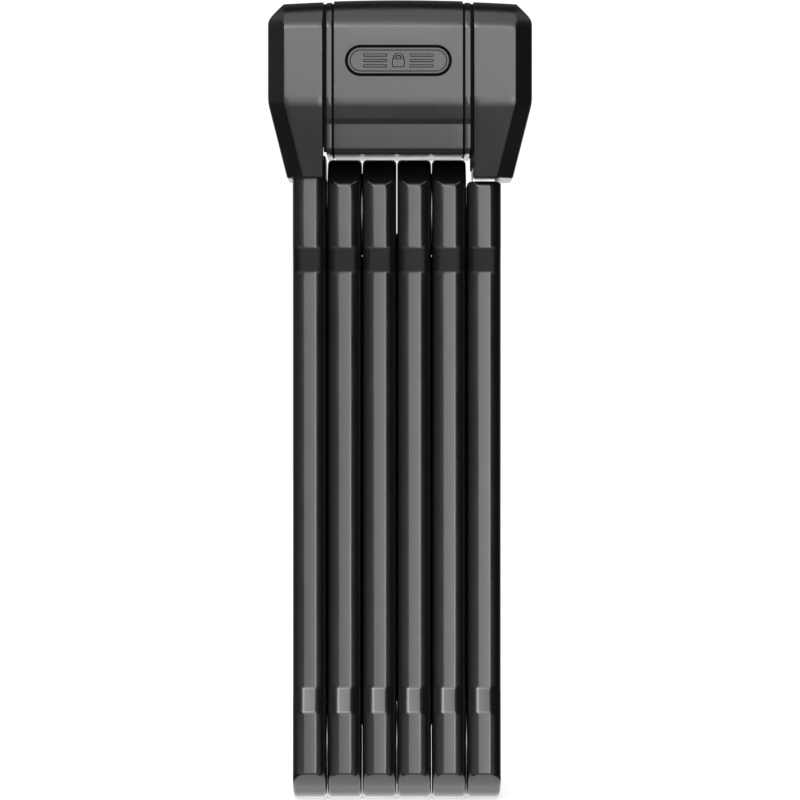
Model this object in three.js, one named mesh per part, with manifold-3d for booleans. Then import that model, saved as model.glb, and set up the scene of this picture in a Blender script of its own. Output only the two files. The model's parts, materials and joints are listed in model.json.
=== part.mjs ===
// Folding bike lock, folded: a lock head on top of six riveted bars.
// Millimetres. +X runs across the bars, -Y is the front, +Z is up, and z = 0 is the bars' lower ends.

import * as THREE from 'three';
import { mergeVertices } from 'three/addons/utils/BufferGeometryUtils.js';
import { ConvexGeometry } from 'three/addons/geometries/ConvexGeometry.js';
import Module from 'manifold-3d';

const wasm = await Module();
wasm.setup();

// ---------------------------------------------------------------- driving dimensions

// Bars
const barCount = 6;
const barPitch = 8.79;
const stackCentreX = -0.8;
const barThickness = 8.35;
const barHalfDepth = 12;
const waistHalfDepth = 10.65;
const endRadius = 13.8;
const shoulderAcross = 2.5;
const shoulderDeep = 1.3;
const barTopZ = 162.2;
const lowerRampZ = [22.4, 28.7];
const upperRampZ = [133.3, 139.6];
const coreThickness = 5.5;
const jacketWall = 1.4;
const jacketClearance = 0.12;

// Pivots
const headPivotZ = 173;
const pinInBody = 2.9;
const jacketBelowPivot = 8.7;
const pinRadius = 4;
const pinClearance = 0.1;
const rivetHeadRadius = 7.2;
const washerRadius = 7.6;
const washerFlangeRadius = 10.4;
const windowRadius = 8.1;
const faceClearance = 0.06;
const pivotWasher = 0.9;
const rivetHeadRecess = 0.1;
const rivetCrown = 0.5;

// Head
const headHalfWidth = 33.15;
const headHalfDepth = 19;
const headBottomZ = 156.9;
const headTopZ = 201.4;
const headCreaseZ = 175.7;
const bevelStartZ = 194.3;
const lowerSlope = THREE.MathUtils.degToRad(12.5);
const sideTaper = THREE.MathUtils.degToRad(14.1);
const cornerAcross = 4;
const cornerDeep = 4.2;
const cheekWall = 1.8;
const leftCheekX = -19.25;
const rightCheekX = 18.4;
const frameLeftX = -18.45;
const frameRightX = 17.7;
const coverLeftX = -16.6;
const coverRightX = 15.8;
const centreBottomZ = 163.1;
const centreCreaseZ = 171.5;
const coverWall = 1.5;
const frameWall = 3;
const seam = 0.15;
const centreBottomEdge = 0.9;
// How far the top bevel has come in, and how far it still is below the top, at its middle and its end.
const cheekBevel = { across: [1.9, 4.6], deep: [1.8, 5], below: [2.6, 0.5] };
const centreBevel = { deep: [1.8, 5.4], below: [2.4, 0] };
const ridgeHalfLength = 19;
const ridgeDeep = 5.6;
const ridgeBelowTop = 0.1;

// Cheek tabs and their screws
const tabZ = [181, 191];
const tabThickness = 1.2;
const tabLength = 7;
const screwFromTabEnd = 2.8;
const screwHeadRadius = 2.6;
const screwHeadHeight = 0.85;
const screwRadius = 1.5;
const screwLength = 4.3;
const screwBoreDepth = 3.2;

// Lock body
const bodyHalfDepth = 13.5;
const bodyTopZ = 195.8;
const bodyBottomZ = 160;
const bodyGap = 0.3;
const rearSwingClearance = 0.4;

// Tongue and bolt
const tongueHalfWidth = 7;
const tongueTopZ = 179;
const tongueBevel = 3;
const tongueEmbed = 4;
const jacketUnderHead = 0.7;
const rootUnderJacketEnd = 2;
const notchClearance = 0.5;
const socketClearance = 0.15;
const boltBottomZ = 169.3;
const boltHeight = 6;
const boltPlateHeight = 3;
const boltTravel = 5;
const boltNoseHalfWidth = 3.5;
const boltPlateHalfWidth = 6.3;
const boltPlateReach = [-3.3, 13.5];
const boltTipGap = 0.5;
const boltClearance = 0.3;
const driverPinRadius = 1.2;

// Cylinder and keyhole
const housingRadius = 10;
const housingTopZ = 193.8;
const cylinderFloorZ = 176;
const plugRadius = 7.5;
const plugCavityRadius = 6;
const plugBottomZ = 178;
const plugTopZ = 191.6;
const plugWall = 2;
const ringSeatRadius = 8.6;
const discCount = 6;
const discPitch = 1.9;
const discThickness = 1.6;
const sidebarWidth = 1.8;
const sidebarTravel = 0.25;
const keywayWidth = 2.8;
const keywayLength = 8.5;
const slideTravel = 9.5;
const slideLength = 10;
const slideHalfWidth = 5.5;
const slideClearance = 0.3;
const railWidth = 1;
const bezelHalfLength = 11.6;
const bezelHalfDepth = 8.2;
const bezelHeight = 4;
const bezelBelowTop = 0.2;
const slideDepth = 2.1;
const slideFootHeight = 0.7;
const slideCapBelowBezel = 0.4;
const slideRibPitch = 1.5;
const slideRibHalfWidth = 0.35;
const keyMouthRadius = 5;

// Label
const labelLength = 26.2;
const labelHeight = 7.3;
const labelZ = 186;
const labelDepth = 0.9;
const labelGroove = 0.25;

// ---------------------------------------------------------------- values worked out from them

const bottomPivotZ = endRadius;
const topPivotZ = barTopZ - endRadius;
const barX = Array.from({ length: barCount }, (_, i) => stackCentreX + (i - (barCount - 1) / 2) * barPitch);
const tongueX = barX[barCount - 1];
const centreX = (frameLeftX + frameRightX) / 2;
const slideRestX = centreX - slideTravel / 2;
const cylinderX = slideRestX;
const driverOffset = boltTravel / 2;
const boltTopZ = boltBottomZ + boltHeight;
const swingAngles = [0, 15, 30, 45].map(THREE.MathUtils.degToRad);
const boltChannelZ = [boltBottomZ - boltClearance, boltTopZ + boltClearance];
const boltSlotX = cylinderX - driverOffset;
const boltLeftX = boltSlotX + boltPlateReach[0];
const boltShoulderX = boltSlotX + boltPlateReach[1];
const boltTipX = tongueX - coreThickness / 2 - boltTipGap;
const bezelX = [centreX - bezelHalfLength, centreX + bezelHalfLength];
const bezelZ = [headTopZ - bezelBelowTop - bezelHeight, headTopZ - bezelBelowTop];
const slideFloorZ = bezelZ[1] - slideDepth;
// A length past every face, for cuts that go right through.
const far = 100;
const wholeHeight = [0, 300];

// ---------------------------------------------------------------- materials

function material(name, color, roughness, metalness) {
  return new THREE.MeshStandardMaterial({ name, color, roughness, metalness });
}

const materials = {
  jacketPlastic: material('jacket_plastic', 0x2b2c2e, 0.42, 0),
  headPlastic: material('head_plastic', 0x29292b, 0.4, 0),
  trimPlastic: material('trim_plastic', 0x202022, 0.5, 0),
  labelPlastic: material('label_plastic', 0x303133, 0.35, 0),
  hardenedSteel: material('hardened_steel', 0x8d9094, 0.35, 1),
  rivetSteel: material('rivet_steel', 0xb4b6ba, 0.28, 1),
  brass: material('brass', 0xb9994f, 0.35, 1),
  rubber: material('rubber', 0x161617, 0.8, 0),
};

// ---------------------------------------------------------------- solids

function toManifold(geometry) {
  const bare = geometry.clone();
  bare.deleteAttribute('normal');
  bare.deleteAttribute('uv');
  const merged = mergeVertices(bare);
  return new wasm.Manifold(new wasm.Mesh({
    numProp: 3,
    vertProperties: new Float32Array(merged.attributes.position.array),
    triVerts: new Uint32Array(merged.index.array),
  }));
}

function toGeometry(manifold) {
  const mesh = manifold.getMesh();
  const geometry = new THREE.BufferGeometry();
  geometry.setAttribute('position', new THREE.BufferAttribute(mesh.vertProperties, 3));
  geometry.setIndex(new THREE.BufferAttribute(mesh.triVerts, 1));
  geometry.computeVertexNormals();
  return geometry;
}

function combine(method, first, others) {
  const result = others.reduce((solid, other) => solid[method](toManifold(other)), toManifold(first));
  return toGeometry(result);
}

const join = (first, ...others) => combine('add', first, others);
const cut = (first, ...others) => combine('subtract', first, others);
const common = (first, ...others) => combine('intersect', first, others);

function box([x0, x1], [y0, y1], [z0, z1]) {
  const geometry = new THREE.BoxGeometry(x1 - x0, y1 - y0, z1 - z0);
  return geometry.translate((x0 + x1) / 2, (y0 + y1) / 2, (z0 + z1) / 2);
}

// A rod along X, from x0 to x1, on the axis (y, z).
function rodX(radius, [x0, x1], y, z, sides = 20) {
  const geometry = new THREE.CylinderGeometry(radius, radius, x1 - x0, sides);
  return geometry.rotateZ(-Math.PI / 2).translate((x0 + x1) / 2, y, z);
}

// A rod along Y, from y0 to y1, on the axis (x, z).
function rodY(radius, [y0, y1], x, z, sides = 16) {
  return new THREE.CylinderGeometry(radius, radius, y1 - y0, sides).translate(x, (y0 + y1) / 2, z);
}

// A rod along Z, from z0 to z1, on the axis (x, y).
function rodZ(radius, [z0, z1], x, y, sides = 24) {
  const geometry = new THREE.CylinderGeometry(radius, radius, z1 - z0, sides);
  return geometry.rotateX(Math.PI / 2).translate(x, y, (z0 + z1) / 2);
}

// A flat ring about the Z axis.
function ringZ(innerRadius, outerRadius, [z0, z1], sides = 24) {
  return cut(rodZ(outerRadius, [z0, z1], 0, 0, sides), rodZ(innerRadius, [z0 - 1, z1 + 1], 0, 0, sides));
}

// An outline of the side view, with the row's Y to its right and Z up, made solid across X.
const sideView = new THREE.Matrix4().makeBasis(
  new THREE.Vector3(0, 1, 0),
  new THREE.Vector3(0, 0, 1),
  new THREE.Vector3(1, 0, 0),
);

// Its edges can be chamfered: edge.across is the chamfer's width along X, and edge.deep its width in the
// outline.
function slab(outline, [x0, x1], edge = { across: 0, deep: 0 }) {
  const geometry = new THREE.ExtrudeGeometry(outline, {
    depth: x1 - x0 - 2 * edge.across,
    curveSegments: 5,
    bevelEnabled: edge.across > 0,
    bevelThickness: edge.across,
    bevelSize: edge.deep,
    bevelOffset: -edge.deep,
    bevelSegments: 1,
  });
  return geometry.applyMatrix4(sideView).translate(x0 + edge.across, 0, 0);
}

function polygon(points) {
  return new THREE.Shape(points.map(([y, z]) => new THREE.Vector2(y, z)));
}

// ---------------------------------------------------------------- bars

const shoulder = { across: shoulderAcross, deep: shoulderDeep };
const acrossBar = [-barThickness / 2, barThickness / 2];
const acrossCore = [-coreThickness / 2, coreThickness / 2];

// The side outline of a bar, drawn from the lower end upwards and back down.
// end.kind is 'arc' for an end like the lower one, 'round' for one concentric with the head pivot,
// and 'flat' for an end that stops at end.z.
function barOutline(end, inset = 0) {
  const halfDepth = barHalfDepth - inset;
  const halfWaist = waistHalfDepth - inset;
  const radius = endRadius - inset;
  const spread = Math.asin(halfDepth / radius);
  const outline = new THREE.Shape();
  outline.absarc(0, bottomPivotZ, radius, -Math.PI / 2 - spread, -Math.PI / 2 + spread, false);
  outline.lineTo(halfDepth, lowerRampZ[0]);
  outline.lineTo(halfWaist, lowerRampZ[1]);
  outline.lineTo(halfWaist, upperRampZ[0]);
  outline.lineTo(halfDepth, upperRampZ[1]);
  if (end.kind === 'arc') {
    outline.absarc(0, topPivotZ, radius, Math.PI / 2 - spread, Math.PI / 2 + spread, false);
  } else if (end.kind === 'round') {
    outline.absarc(0, headPivotZ, halfDepth, 0, Math.PI, false);
  } else {
    outline.lineTo(halfDepth, end.z);
    outline.lineTo(-halfDepth, end.z);
  }
  outline.lineTo(-halfDepth, upperRampZ[1]);
  outline.lineTo(-halfWaist, upperRampZ[0]);
  outline.lineTo(-halfWaist, lowerRampZ[1]);
  outline.lineTo(-halfDepth, lowerRampZ[0]);
  return outline;
}

// How each bar's core and jacket end at the top, and where its pivots are.
const tongueJacketZ = headBottomZ - jacketUnderHead;
const tongueRootZ = tongueJacketZ - rootUnderJacketEnd;
const bars = barX.map((x, i) => {
  if (i === 0) {
    const jacketEnd = { kind: 'flat', z: headPivotZ - jacketBelowPivot };
    return { x, coreEnd: { kind: 'round' }, jacketEnd, pivots: [bottomPivotZ, headPivotZ] };
  }
  if (i === barCount - 1) {
    const jacketEnd = { kind: 'flat', z: tongueJacketZ };
    return { x, coreEnd: { kind: 'flat', z: tongueRootZ }, jacketEnd, pivots: [bottomPivotZ], tongued: true };
  }
  return { x, coreEnd: { kind: 'arc' }, jacketEnd: { kind: 'arc' }, pivots: [bottomPivotZ, topPivotZ] };
});

// The flat tongue on top of the last bar's core, with the notch that the bolt enters.
function tongue() {
  const outline = polygon([
    [-tongueHalfWidth, tongueRootZ - tongueEmbed],
    [tongueHalfWidth, tongueRootZ - tongueEmbed],
    [tongueHalfWidth, tongueTopZ - tongueBevel],
    [tongueHalfWidth - tongueBevel, tongueTopZ],
    [tongueBevel - tongueHalfWidth, tongueTopZ],
    [-tongueHalfWidth, tongueTopZ - tongueBevel],
  ]);
  const notchHalfWidth = boltNoseHalfWidth + notchClearance;
  const notchZ = [boltBottomZ - notchClearance, boltTopZ + notchClearance];
  const notch = box([-far, far], [-notchHalfWidth, notchHalfWidth], notchZ);
  return cut(slab(outline, acrossCore), notch);
}

function barCore({ coreEnd, pivots, tongued }) {
  const plate = slab(barOutline(coreEnd, jacketWall), acrossCore);
  const bores = pivots.map((z) => rodX(pinRadius + pinClearance, [-far, far], 0, z));
  const core = cut(plate, ...bores);
  return tongued ? join(core, tongue()) : core;
}

// The jacket is open at its pivots and where the core comes out of its top.
function barJacket({ coreEnd, jacketEnd, pivots, tongued }) {
  const halfPocket = coreThickness / 2 + jacketClearance;
  const pocketEnd = tongued ? { ...coreEnd, z: coreEnd.z + jacketClearance } : coreEnd;
  const pocket = slab(barOutline(pocketEnd, jacketWall - jacketClearance), [-halfPocket, halfPocket]);
  const windows = pivots.map((z) => rodX(windowRadius, [-far, far], 0, z));
  const halfExit = tongueHalfWidth + jacketClearance;
  const exit = box([-halfPocket, halfPocket], [-halfExit, halfExit], [tongueRootZ - 1, tongueJacketZ + 1]);
  const outer = slab(barOutline(jacketEnd), acrossBar, shoulder);
  return cut(outer, pocket, ...windows, ...(tongued ? [exit] : []));
}

// A rivet through two neighbouring cores, centred between them, with both heads sunk in the jackets.
function barRivet() {
  const grip = (barPitch + coreThickness) / 2 + faceClearance;
  const end = (barPitch + barThickness) / 2 - rivetHeadRecess;
  const half = [
    [rivetHeadRadius - rivetCrown, end],
    [rivetHeadRadius, end - rivetCrown],
    [rivetHeadRadius, grip],
    [pinRadius, grip],
  ];
  const mirrored = half.map(([r, x]) => [r, -x]).reverse();
  const profile = [[0, end], ...half, ...mirrored, [0, -end]].map(([r, x]) => new THREE.Vector2(r, x));
  return new THREE.LatheGeometry(profile.reverse(), 20).rotateZ(-Math.PI / 2);
}

// A washer about the X axis.
function washer([x0, x1]) {
  const ring = rodX(washerRadius, [x0, x1], 0, 0);
  return cut(ring, rodX(pinRadius + pinClearance, [x0 - 1, x1 + 1], 0, 0));
}

// The washer between two bars: its hub is between the cores, and its thin flange between the jackets.
function spacerWasher() {
  const halfHub = (barPitch - coreThickness) / 2 - faceClearance;
  const halfFlange = (barPitch - barThickness) / 2 - faceClearance;
  const hub = washer([-halfHub, halfHub]);
  const flange = rodX(washerFlangeRadius, [-halfFlange, halfFlange], 0, 0);
  const flangeHole = rodX((pinRadius + washerRadius) / 2, [-far, far], 0, 0);
  return join(hub, cut(flange, flangeHole));
}

// ---------------------------------------------------------------- head envelopes

// The outside of the two cheeks, as one convex body: chamfered rectangles at a few heights.
function cheekEnvelope(inset = 0) {
  const { across, deep, below } = cheekBevel;
  const drop = headCreaseZ - headBottomZ;
  const levels = [
    [headBottomZ, headHalfWidth - drop * Math.tan(sideTaper), headHalfDepth - drop * Math.tan(lowerSlope)],
    [headCreaseZ, headHalfWidth, headHalfDepth],
    [bevelStartZ, headHalfWidth, headHalfDepth],
    [headTopZ - below[0], headHalfWidth - across[0], headHalfDepth - deep[0]],
    [headTopZ - below[1] - inset, headHalfWidth - across[1], headHalfDepth - deep[1]],
  ];
  const corners = levels.flatMap(([z, width, depth]) => [-1, 1].flatMap((sx) => [-1, 1].flatMap((sy) => [
    new THREE.Vector3(sx * (width - inset), sy * (depth - inset - cornerDeep), z),
    new THREE.Vector3(sx * (width - inset - cornerAcross), sy * (depth - inset), z),
  ])));
  const ridgeY = headHalfDepth - ridgeDeep - inset;
  const ridge = [-1, 1].flatMap((sx) => [-1, 1].map((sy) => (
    new THREE.Vector3(sx * ridgeHalfLength, sy * ridgeY, headTopZ - ridgeBelowTop - inset))));
  return new ConvexGeometry([...corners, ...ridge]);
}

// The side outline of the head's centre, which steps in less than the cheeks and ends higher.
function centreOutline(inset = 0) {
  const lowerFace = headHalfDepth - (headCreaseZ - centreCreaseZ) * Math.tan(lowerSlope) - inset;
  const { deep, below } = centreBevel;
  const front = [
    [centreBottomEdge - lowerFace, centreBottomZ + inset],
    [-lowerFace, centreBottomZ + centreBottomEdge + inset],
    [-lowerFace, centreCreaseZ],
    [inset - headHalfDepth, headCreaseZ],
    [inset - headHalfDepth, bevelStartZ],
    [inset - headHalfDepth + deep[0], headTopZ - below[0] - inset],
    [inset - headHalfDepth + deep[1], headTopZ - below[1] - inset],
  ];
  const back = front.map(([y, z]) => [-y, z]).reverse();
  return polygon([...back, ...front]);
}

// ---------------------------------------------------------------- spaces inside the head

// The space that a part of bar 1 sweeps as the bar swings back about the head pivot. The part is
// halfWidth wide on each side of the bar's centre line and starts topOffset below the pivot.
function sweptSpace(halfWidth, topOffset, sides, edge) {
  const corners = [[-halfWidth, -topOffset], [halfWidth, -topOffset], [halfWidth, -far], [-halfWidth, -far]];
  const strips = swingAngles.map((angle) => {
    const [c, s] = [Math.cos(angle), Math.sin(angle)];
    return slab(polygon(corners.map(([y, z]) => [y * c - z * s, headPivotZ + y * s + z * c])), sides, edge);
  });
  return join(...strips);
}

const jacketSides = [barX[0] - barThickness / 2 - bodyGap, frameLeftX + seam / 3];
const coreSides = [-1, 1].map((side) => barX[0] + side * (coreThickness / 2 + pivotWasher));

function jacketSpace() {
  const halfWidth = barHalfDepth + rearSwingClearance;
  return sweptSpace(halfWidth, jacketBelowPivot - rearSwingClearance, jacketSides, shoulder);
}

function coreSpace() {
  const halfWidth = barHalfDepth - jacketWall + rearSwingClearance;
  return join(rodX(halfWidth, coreSides, 0, headPivotZ), sweptSpace(halfWidth, 0, coreSides));
}

function tongueSocket([z0, z1], clearance = socketClearance) {
  const halfThickness = coreThickness / 2 + clearance;
  const halfWidth = tongueHalfWidth + clearance + pinClearance;
  return box([tongueX - halfThickness, tongueX + halfThickness], [-halfWidth, halfWidth], [z0, z1]);
}

// ---------------------------------------------------------------- head shells

const tabY = [bodyHalfDepth + bodyGap, bodyHalfDepth + bodyGap + tabThickness];
const screwPlaces = [-1, 1].flatMap((side) => [-1, 1].map((face) => ({
  side,
  face,
  x: side < 0 ? leftCheekX + tabLength - screwFromTabEnd : rightCheekX - tabLength + screwFromTabEnd,
  z: (tabZ[0] + tabZ[1]) / 2,
})));

function cheekTabs(side) {
  const x = side < 0
    ? [leftCheekX - cornerAcross, leftCheekX + tabLength]
    : [rightCheekX - tabLength, rightCheekX + cornerAcross];
  const reach = [tabY[0], headHalfDepth - 1];
  const root = side < 0 ? [leftCheekX - cornerAcross, leftCheekX] : [rightCheekX, rightCheekX + cornerAcross];
  return [-1, 1].map((face) => {
    const flip = ([a, b]) => (face < 0 ? [-b, -a] : [a, b]);
    return join(box(x, flip(tabY), tabZ), box(root, flip(reach), tabZ));
  });
}

function screwHoles(side) {
  return screwPlaces.filter((place) => place.side === side && place.face < 0).map(({ x, z }) => (
    rodY(screwRadius + pinClearance, [-tabY[1] - 1, tabY[1] + 1], x, z)));
}

function leftCheek() {
  const shell = common(cheekEnvelope(), box([-far, leftCheekX], [-far, far], wholeHeight));
  const cavity = common(
    cheekEnvelope(cheekWall),
    box([-far, leftCheekX + 1], [-far, far], [headBottomZ + cheekWall, far * 3]),
  );
  const walls = join(cut(shell, cavity), ...cheekTabs(-1));
  return cut(walls, jacketSpace(), coreSpace(), ...screwHoles(-1));
}

function rightCheek() {
  const shell = common(cheekEnvelope(), box([rightCheekX, far], [-far, far], wholeHeight));
  const cavity = common(
    cheekEnvelope(cheekWall),
    box([rightCheekX - 1, far], [-far, far], [headBottomZ + cheekWall, far * 3]),
  );
  const walls = join(cut(shell, cavity), ...cheekTabs(1));
  const mouth = tongueSocket([0, headBottomZ + cheekWall + 1], bodyGap);
  return cut(walls, mouth, ...screwHoles(1));
}

function bezelHole(clearance) {
  return box(
    [bezelX[0] - clearance, bezelX[1] + clearance],
    [-bezelHalfDepth - clearance, bezelHalfDepth + clearance],
    [bodyTopZ, far * 3],
  );
}

function centreFrame() {
  const ends = [frameLeftX, frameRightX];
  const coverSeat = [coverLeftX - seam, coverRightX + seam];
  const ring = cut(slab(centreOutline(), ends), slab(centreOutline(frameWall), [-far, far]));
  const seat = cut(slab(centreOutline(-1), coverSeat), slab(centreOutline(coverWall + seam), [-far, far]));
  return cut(ring, seat, bezelHole(seam));
}

function pill(length, height, [y0, y1]) {
  const radius = height / 2;
  const reach = length / 2 - radius;
  const outline = new THREE.Shape();
  outline.absarc(reach, 0, radius, -Math.PI / 2, Math.PI / 2, false);
  outline.absarc(-reach, 0, radius, Math.PI / 2, Math.PI * 1.5, false);
  const flat = { depth: y1 - y0, bevelEnabled: false, curveSegments: 6 };
  const geometry = new THREE.ExtrudeGeometry(outline, flat);
  const labelX = (coverLeftX + coverRightX) / 2;
  return geometry.rotateX(Math.PI / 2).translate(labelX, y1, labelZ);
}

// Half of the cover round the head's centre: face is -1 for the front and 1 for the rear.
function coverHalf(face) {
  const side = face < 0 ? [-far, -seam / 2] : [seam / 2, far];
  const sleeve = cut(
    slab(centreOutline(), [coverLeftX, coverRightX]),
    slab(centreOutline(coverWall), [-far, far]),
  );
  const half = common(sleeve, box([-far, far], side, wholeHeight));
  const opened = cut(half, bezelHole(seam));
  const labelSeat = pill(labelLength + 2 * labelGroove, labelHeight + 2 * labelGroove,
    [-headHalfDepth - 1, labelDepth - headHalfDepth]);
  return face < 0 ? cut(opened, labelSeat) : opened;
}

function labelPlate() {
  return pill(labelLength, labelHeight, [-headHalfDepth, labelDepth - headHalfDepth - faceClearance]);
}

// ---------------------------------------------------------------- lock body and its mechanism

const pinX = [coreSides[0] - pinInBody, coreSides[1] + pinInBody];

function boltChannel() {
  const plate = box(
    [boltLeftX - boltClearance, boltShoulderX + boltTravel + boltClearance],
    [-boltPlateHalfWidth - boltClearance, boltPlateHalfWidth + boltClearance],
    boltChannelZ,
  );
  const halfNose = boltNoseHalfWidth + boltClearance;
  const nose = box([0, tongueX], [-halfNose, halfNose], boltChannelZ);
  return [plate, nose];
}

const bufferZ = [tongueTopZ + 0.7, tongueTopZ + 2.3];

function lockBody() {
  const blank = common(
    cheekEnvelope(cheekWall + bodyGap),
    box([-far, far], [-bodyHalfDepth, bodyHalfDepth], [bodyBottomZ, bodyTopZ]),
  );
  const underCentre = box(
    [frameLeftX - 1, frameRightX + bodyGap],
    [-far, far],
    [0, centreBottomZ + frameWall + bodyGap],
  );
  const underPivot = box([-far, frameLeftX], [-far, far], [0, headPivotZ - jacketBelowPivot + 1]);
  const bore = rodZ(housingRadius + socketClearance, [cylinderFloorZ, far * 3], cylinderX, 0);
  const driverHole = rodZ(keyMouthRadius, [boltTopZ, cylinderFloorZ + 1], cylinderX, 0);
  const pivotBore = rodX(
    pinRadius + pinClearance,
    [pinX[0] - pinClearance, pinX[1] + pinClearance],
    0,
    headPivotZ,
  );
  const screwBores = screwPlaces.map(({ face, x, z }) => {
    const floorY = bodyHalfDepth - screwBoreDepth;
    const y = face < 0 ? [-far, -floorY] : [floorY, far];
    return rodY(screwRadius + pinClearance, y, x, z);
  });
  const socket = tongueSocket([0, bufferZ[1] + bodyGap]);
  const barSpaces = [underCentre, underPivot, jacketSpace(), coreSpace(), pivotBore, socket];
  return cut(blank, ...barSpaces, bore, driverHole, ...boltChannel(), ...screwBores);
}

function headPivotPin() {
  return rodX(pinRadius, pinX.map((x) => x - barX[0]), 0, 0);
}

// A rubber pad over the tongue's end.
function socketBuffer() {
  const halfThickness = coreThickness / 2 - bodyGap;
  const halfWidth = tongueHalfWidth - 2;
  return box([-halfThickness, halfThickness], [-halfWidth, halfWidth], [0, bufferZ[1] - bufferZ[0]]);
}

// A low screw whose head's underside is at y = 0, driven along +Y.
function cheekScrew() {
  const head = rodY(screwHeadRadius, [-screwHeadHeight, 0], 0, 0);
  return join(head, rodY(screwRadius, [-screwHeadHeight / 2, screwLength], 0, 0));
}

function keyway([z0, z1]) {
  return box([-keywayWidth / 2, keywayWidth / 2], [-keywayLength / 2, keywayLength / 2], [z0, z1]);
}

const sidebarZ = [plugBottomZ + 1, plugTopZ - plugWall - bodyGap];

function cylinderHousing() {
  const bottomZ = cylinderFloorZ + socketClearance;
  const tube = ringZ(plugRadius + pinClearance, housingRadius, [bottomZ, housingTopZ]);
  return cut(tube, rodZ(ringSeatRadius, [plugTopZ + socketClearance, far * 3], 0, 0));
}

function cylinderPlug() {
  const barrel = rodZ(plugRadius, [plugBottomZ, plugTopZ], 0, 0);
  const cavityZ = [plugBottomZ - 1, plugTopZ - plugWall];
  const cavity = rodZ(plugCavityRadius, cavityZ, 0, 0);
  const halfSlot = sidebarWidth / 2 + socketClearance;
  const slot = box([-halfSlot, halfSlot], [plugCavityRadius / 2, far], cavityZ);
  return cut(barrel, cavity, slot, keyway(wholeHeight));
}

function lockingDisc() {
  const disc = rodZ(plugCavityRadius - socketClearance, [0, discThickness], 0, 0, 24);
  const halfGate = sidebarWidth / 2;
  const gate = box([-halfGate, halfGate], [plugCavityRadius - 1, far], [-1, discThickness + 1]);
  return cut(disc, keyway([-1, discThickness + 1]), gate);
}

function sidebar() {
  return box([-sidebarWidth / 2, sidebarWidth / 2], [plugCavityRadius, plugRadius - sidebarTravel], sidebarZ);
}

function boltDriver() {
  const discZ = [cylinderFloorZ + bodyGap, plugBottomZ - socketClearance];
  const disc = rodZ(plugRadius - socketClearance, discZ, 0, 0, 24);
  const eccentric = rodZ(
    driverPinRadius,
    [boltBottomZ + boltClearance, cylinderFloorZ + 1],
    -driverOffset,
    -driverOffset,
    16,
  );
  return join(disc, eccentric);
}

function lockingBolt() {
  const plate = box(
    [boltLeftX, boltShoulderX],
    [-boltPlateHalfWidth, boltPlateHalfWidth],
    [boltBottomZ, boltBottomZ + boltPlateHeight],
  );
  const acrossNose = [-boltNoseHalfWidth, boltNoseHalfWidth];
  const nose = box([boltShoulderX - boltPlateHeight, boltTipX], acrossNose, [boltBottomZ, boltTopZ]);
  const halfSlot = driverPinRadius + sidebarTravel;
  const slotMargin = halfSlot + pinClearance;
  // The eccentric pin swings outwards by a quarter turn between its two end places.
  const slotY = [-driverOffset * Math.SQRT2 - slotMargin, -driverOffset + slotMargin];
  const driverSlot = box([boltSlotX - halfSlot, boltSlotX + halfSlot], slotY, wholeHeight);
  return cut(join(plate, nose), driverSlot);
}

function keyholeBezel() {
  const block = box(bezelX, [-bezelHalfDepth, bezelHalfDepth], bezelZ);
  const halfRecess = (slideLength + slideTravel) / 2 + slideClearance;
  const recess = [centreX - halfRecess, centreX + halfRecess];
  const halfMouth = slideHalfWidth + slideClearance;
  const halfRail = halfMouth + railWidth;
  const rail = box(recess, [-halfRail, halfRail], [slideFloorZ, slideFloorZ + slideFootHeight + slideClearance]);
  const mouth = box(recess, [-halfMouth, halfMouth], [slideFloorZ, far * 3]);
  return cut(block, rail, mouth, rodZ(keyMouthRadius, wholeHeight, cylinderX, 0, 24));
}

function keyholeCover() {
  const x = [-slideLength / 2, slideLength / 2];
  const footZ = slideFloorZ + socketClearance;
  const capZ = bezelZ[1] - slideCapBelowBezel;
  const halfFoot = slideHalfWidth + railWidth;
  const foot = box(x, [-halfFoot, halfFoot], [footZ, footZ + slideFootHeight]);
  const cap = box(x, [-slideHalfWidth, slideHalfWidth], [footZ, capZ]);
  const acrossRib = [railWidth - slideHalfWidth, slideHalfWidth - railWidth];
  const ribs = [-2, -1, 0, 1, 2].map((step) => {
    const ribX = step * slideRibPitch;
    return box([ribX - slideRibHalfWidth, ribX + slideRibHalfWidth], acrossRib, [footZ, bezelZ[1]]);
  });
  return join(foot, cap, ...ribs);
}

// ---------------------------------------------------------------- assembly

const lock = new THREE.Group();

function place(name, geometry, look, [x, y, z] = [0, 0, 0]) {
  const mesh = new THREE.Mesh(geometry, look);
  mesh.name = name;
  mesh.position.set(x, y, z);
  lock.add(mesh);
  return mesh;
}

function placeBars() {
  bars.forEach((bar, i) => {
    place(`bar_core_${i + 1}`, barCore(bar), materials.hardenedSteel, [bar.x, 0, 0]);
    place(`bar_jacket_${i + 1}`, barJacket(bar), materials.jacketPlastic, [bar.x, 0, 0]);
  });
  for (let i = 0; i < barCount - 1; i += 1) {
    const pivotZ = i % 2 === 0 ? bottomPivotZ : topPivotZ;
    const between = [(barX[i] + barX[i + 1]) / 2, 0, pivotZ];
    place(`bar_rivet_${i + 1}`, barRivet(), materials.rivetSteel, between);
    place(`spacer_washer_${i + 1}`, spacerWasher(), materials.rivetSteel, between);
  }
}

function placeHeadPivot() {
  const gap = [coreThickness / 2 + faceClearance, coreThickness / 2 + pivotWasher - faceClearance];
  const axis = [barX[0], 0, headPivotZ];
  place('head_pivot_pin', headPivotPin(), materials.rivetSteel, axis);
  place('pivot_washer_outer', washer([-gap[1], -gap[0]]), materials.rivetSteel, axis);
  place('pivot_washer_inner', washer(gap), materials.rivetSteel, axis);
}

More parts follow.
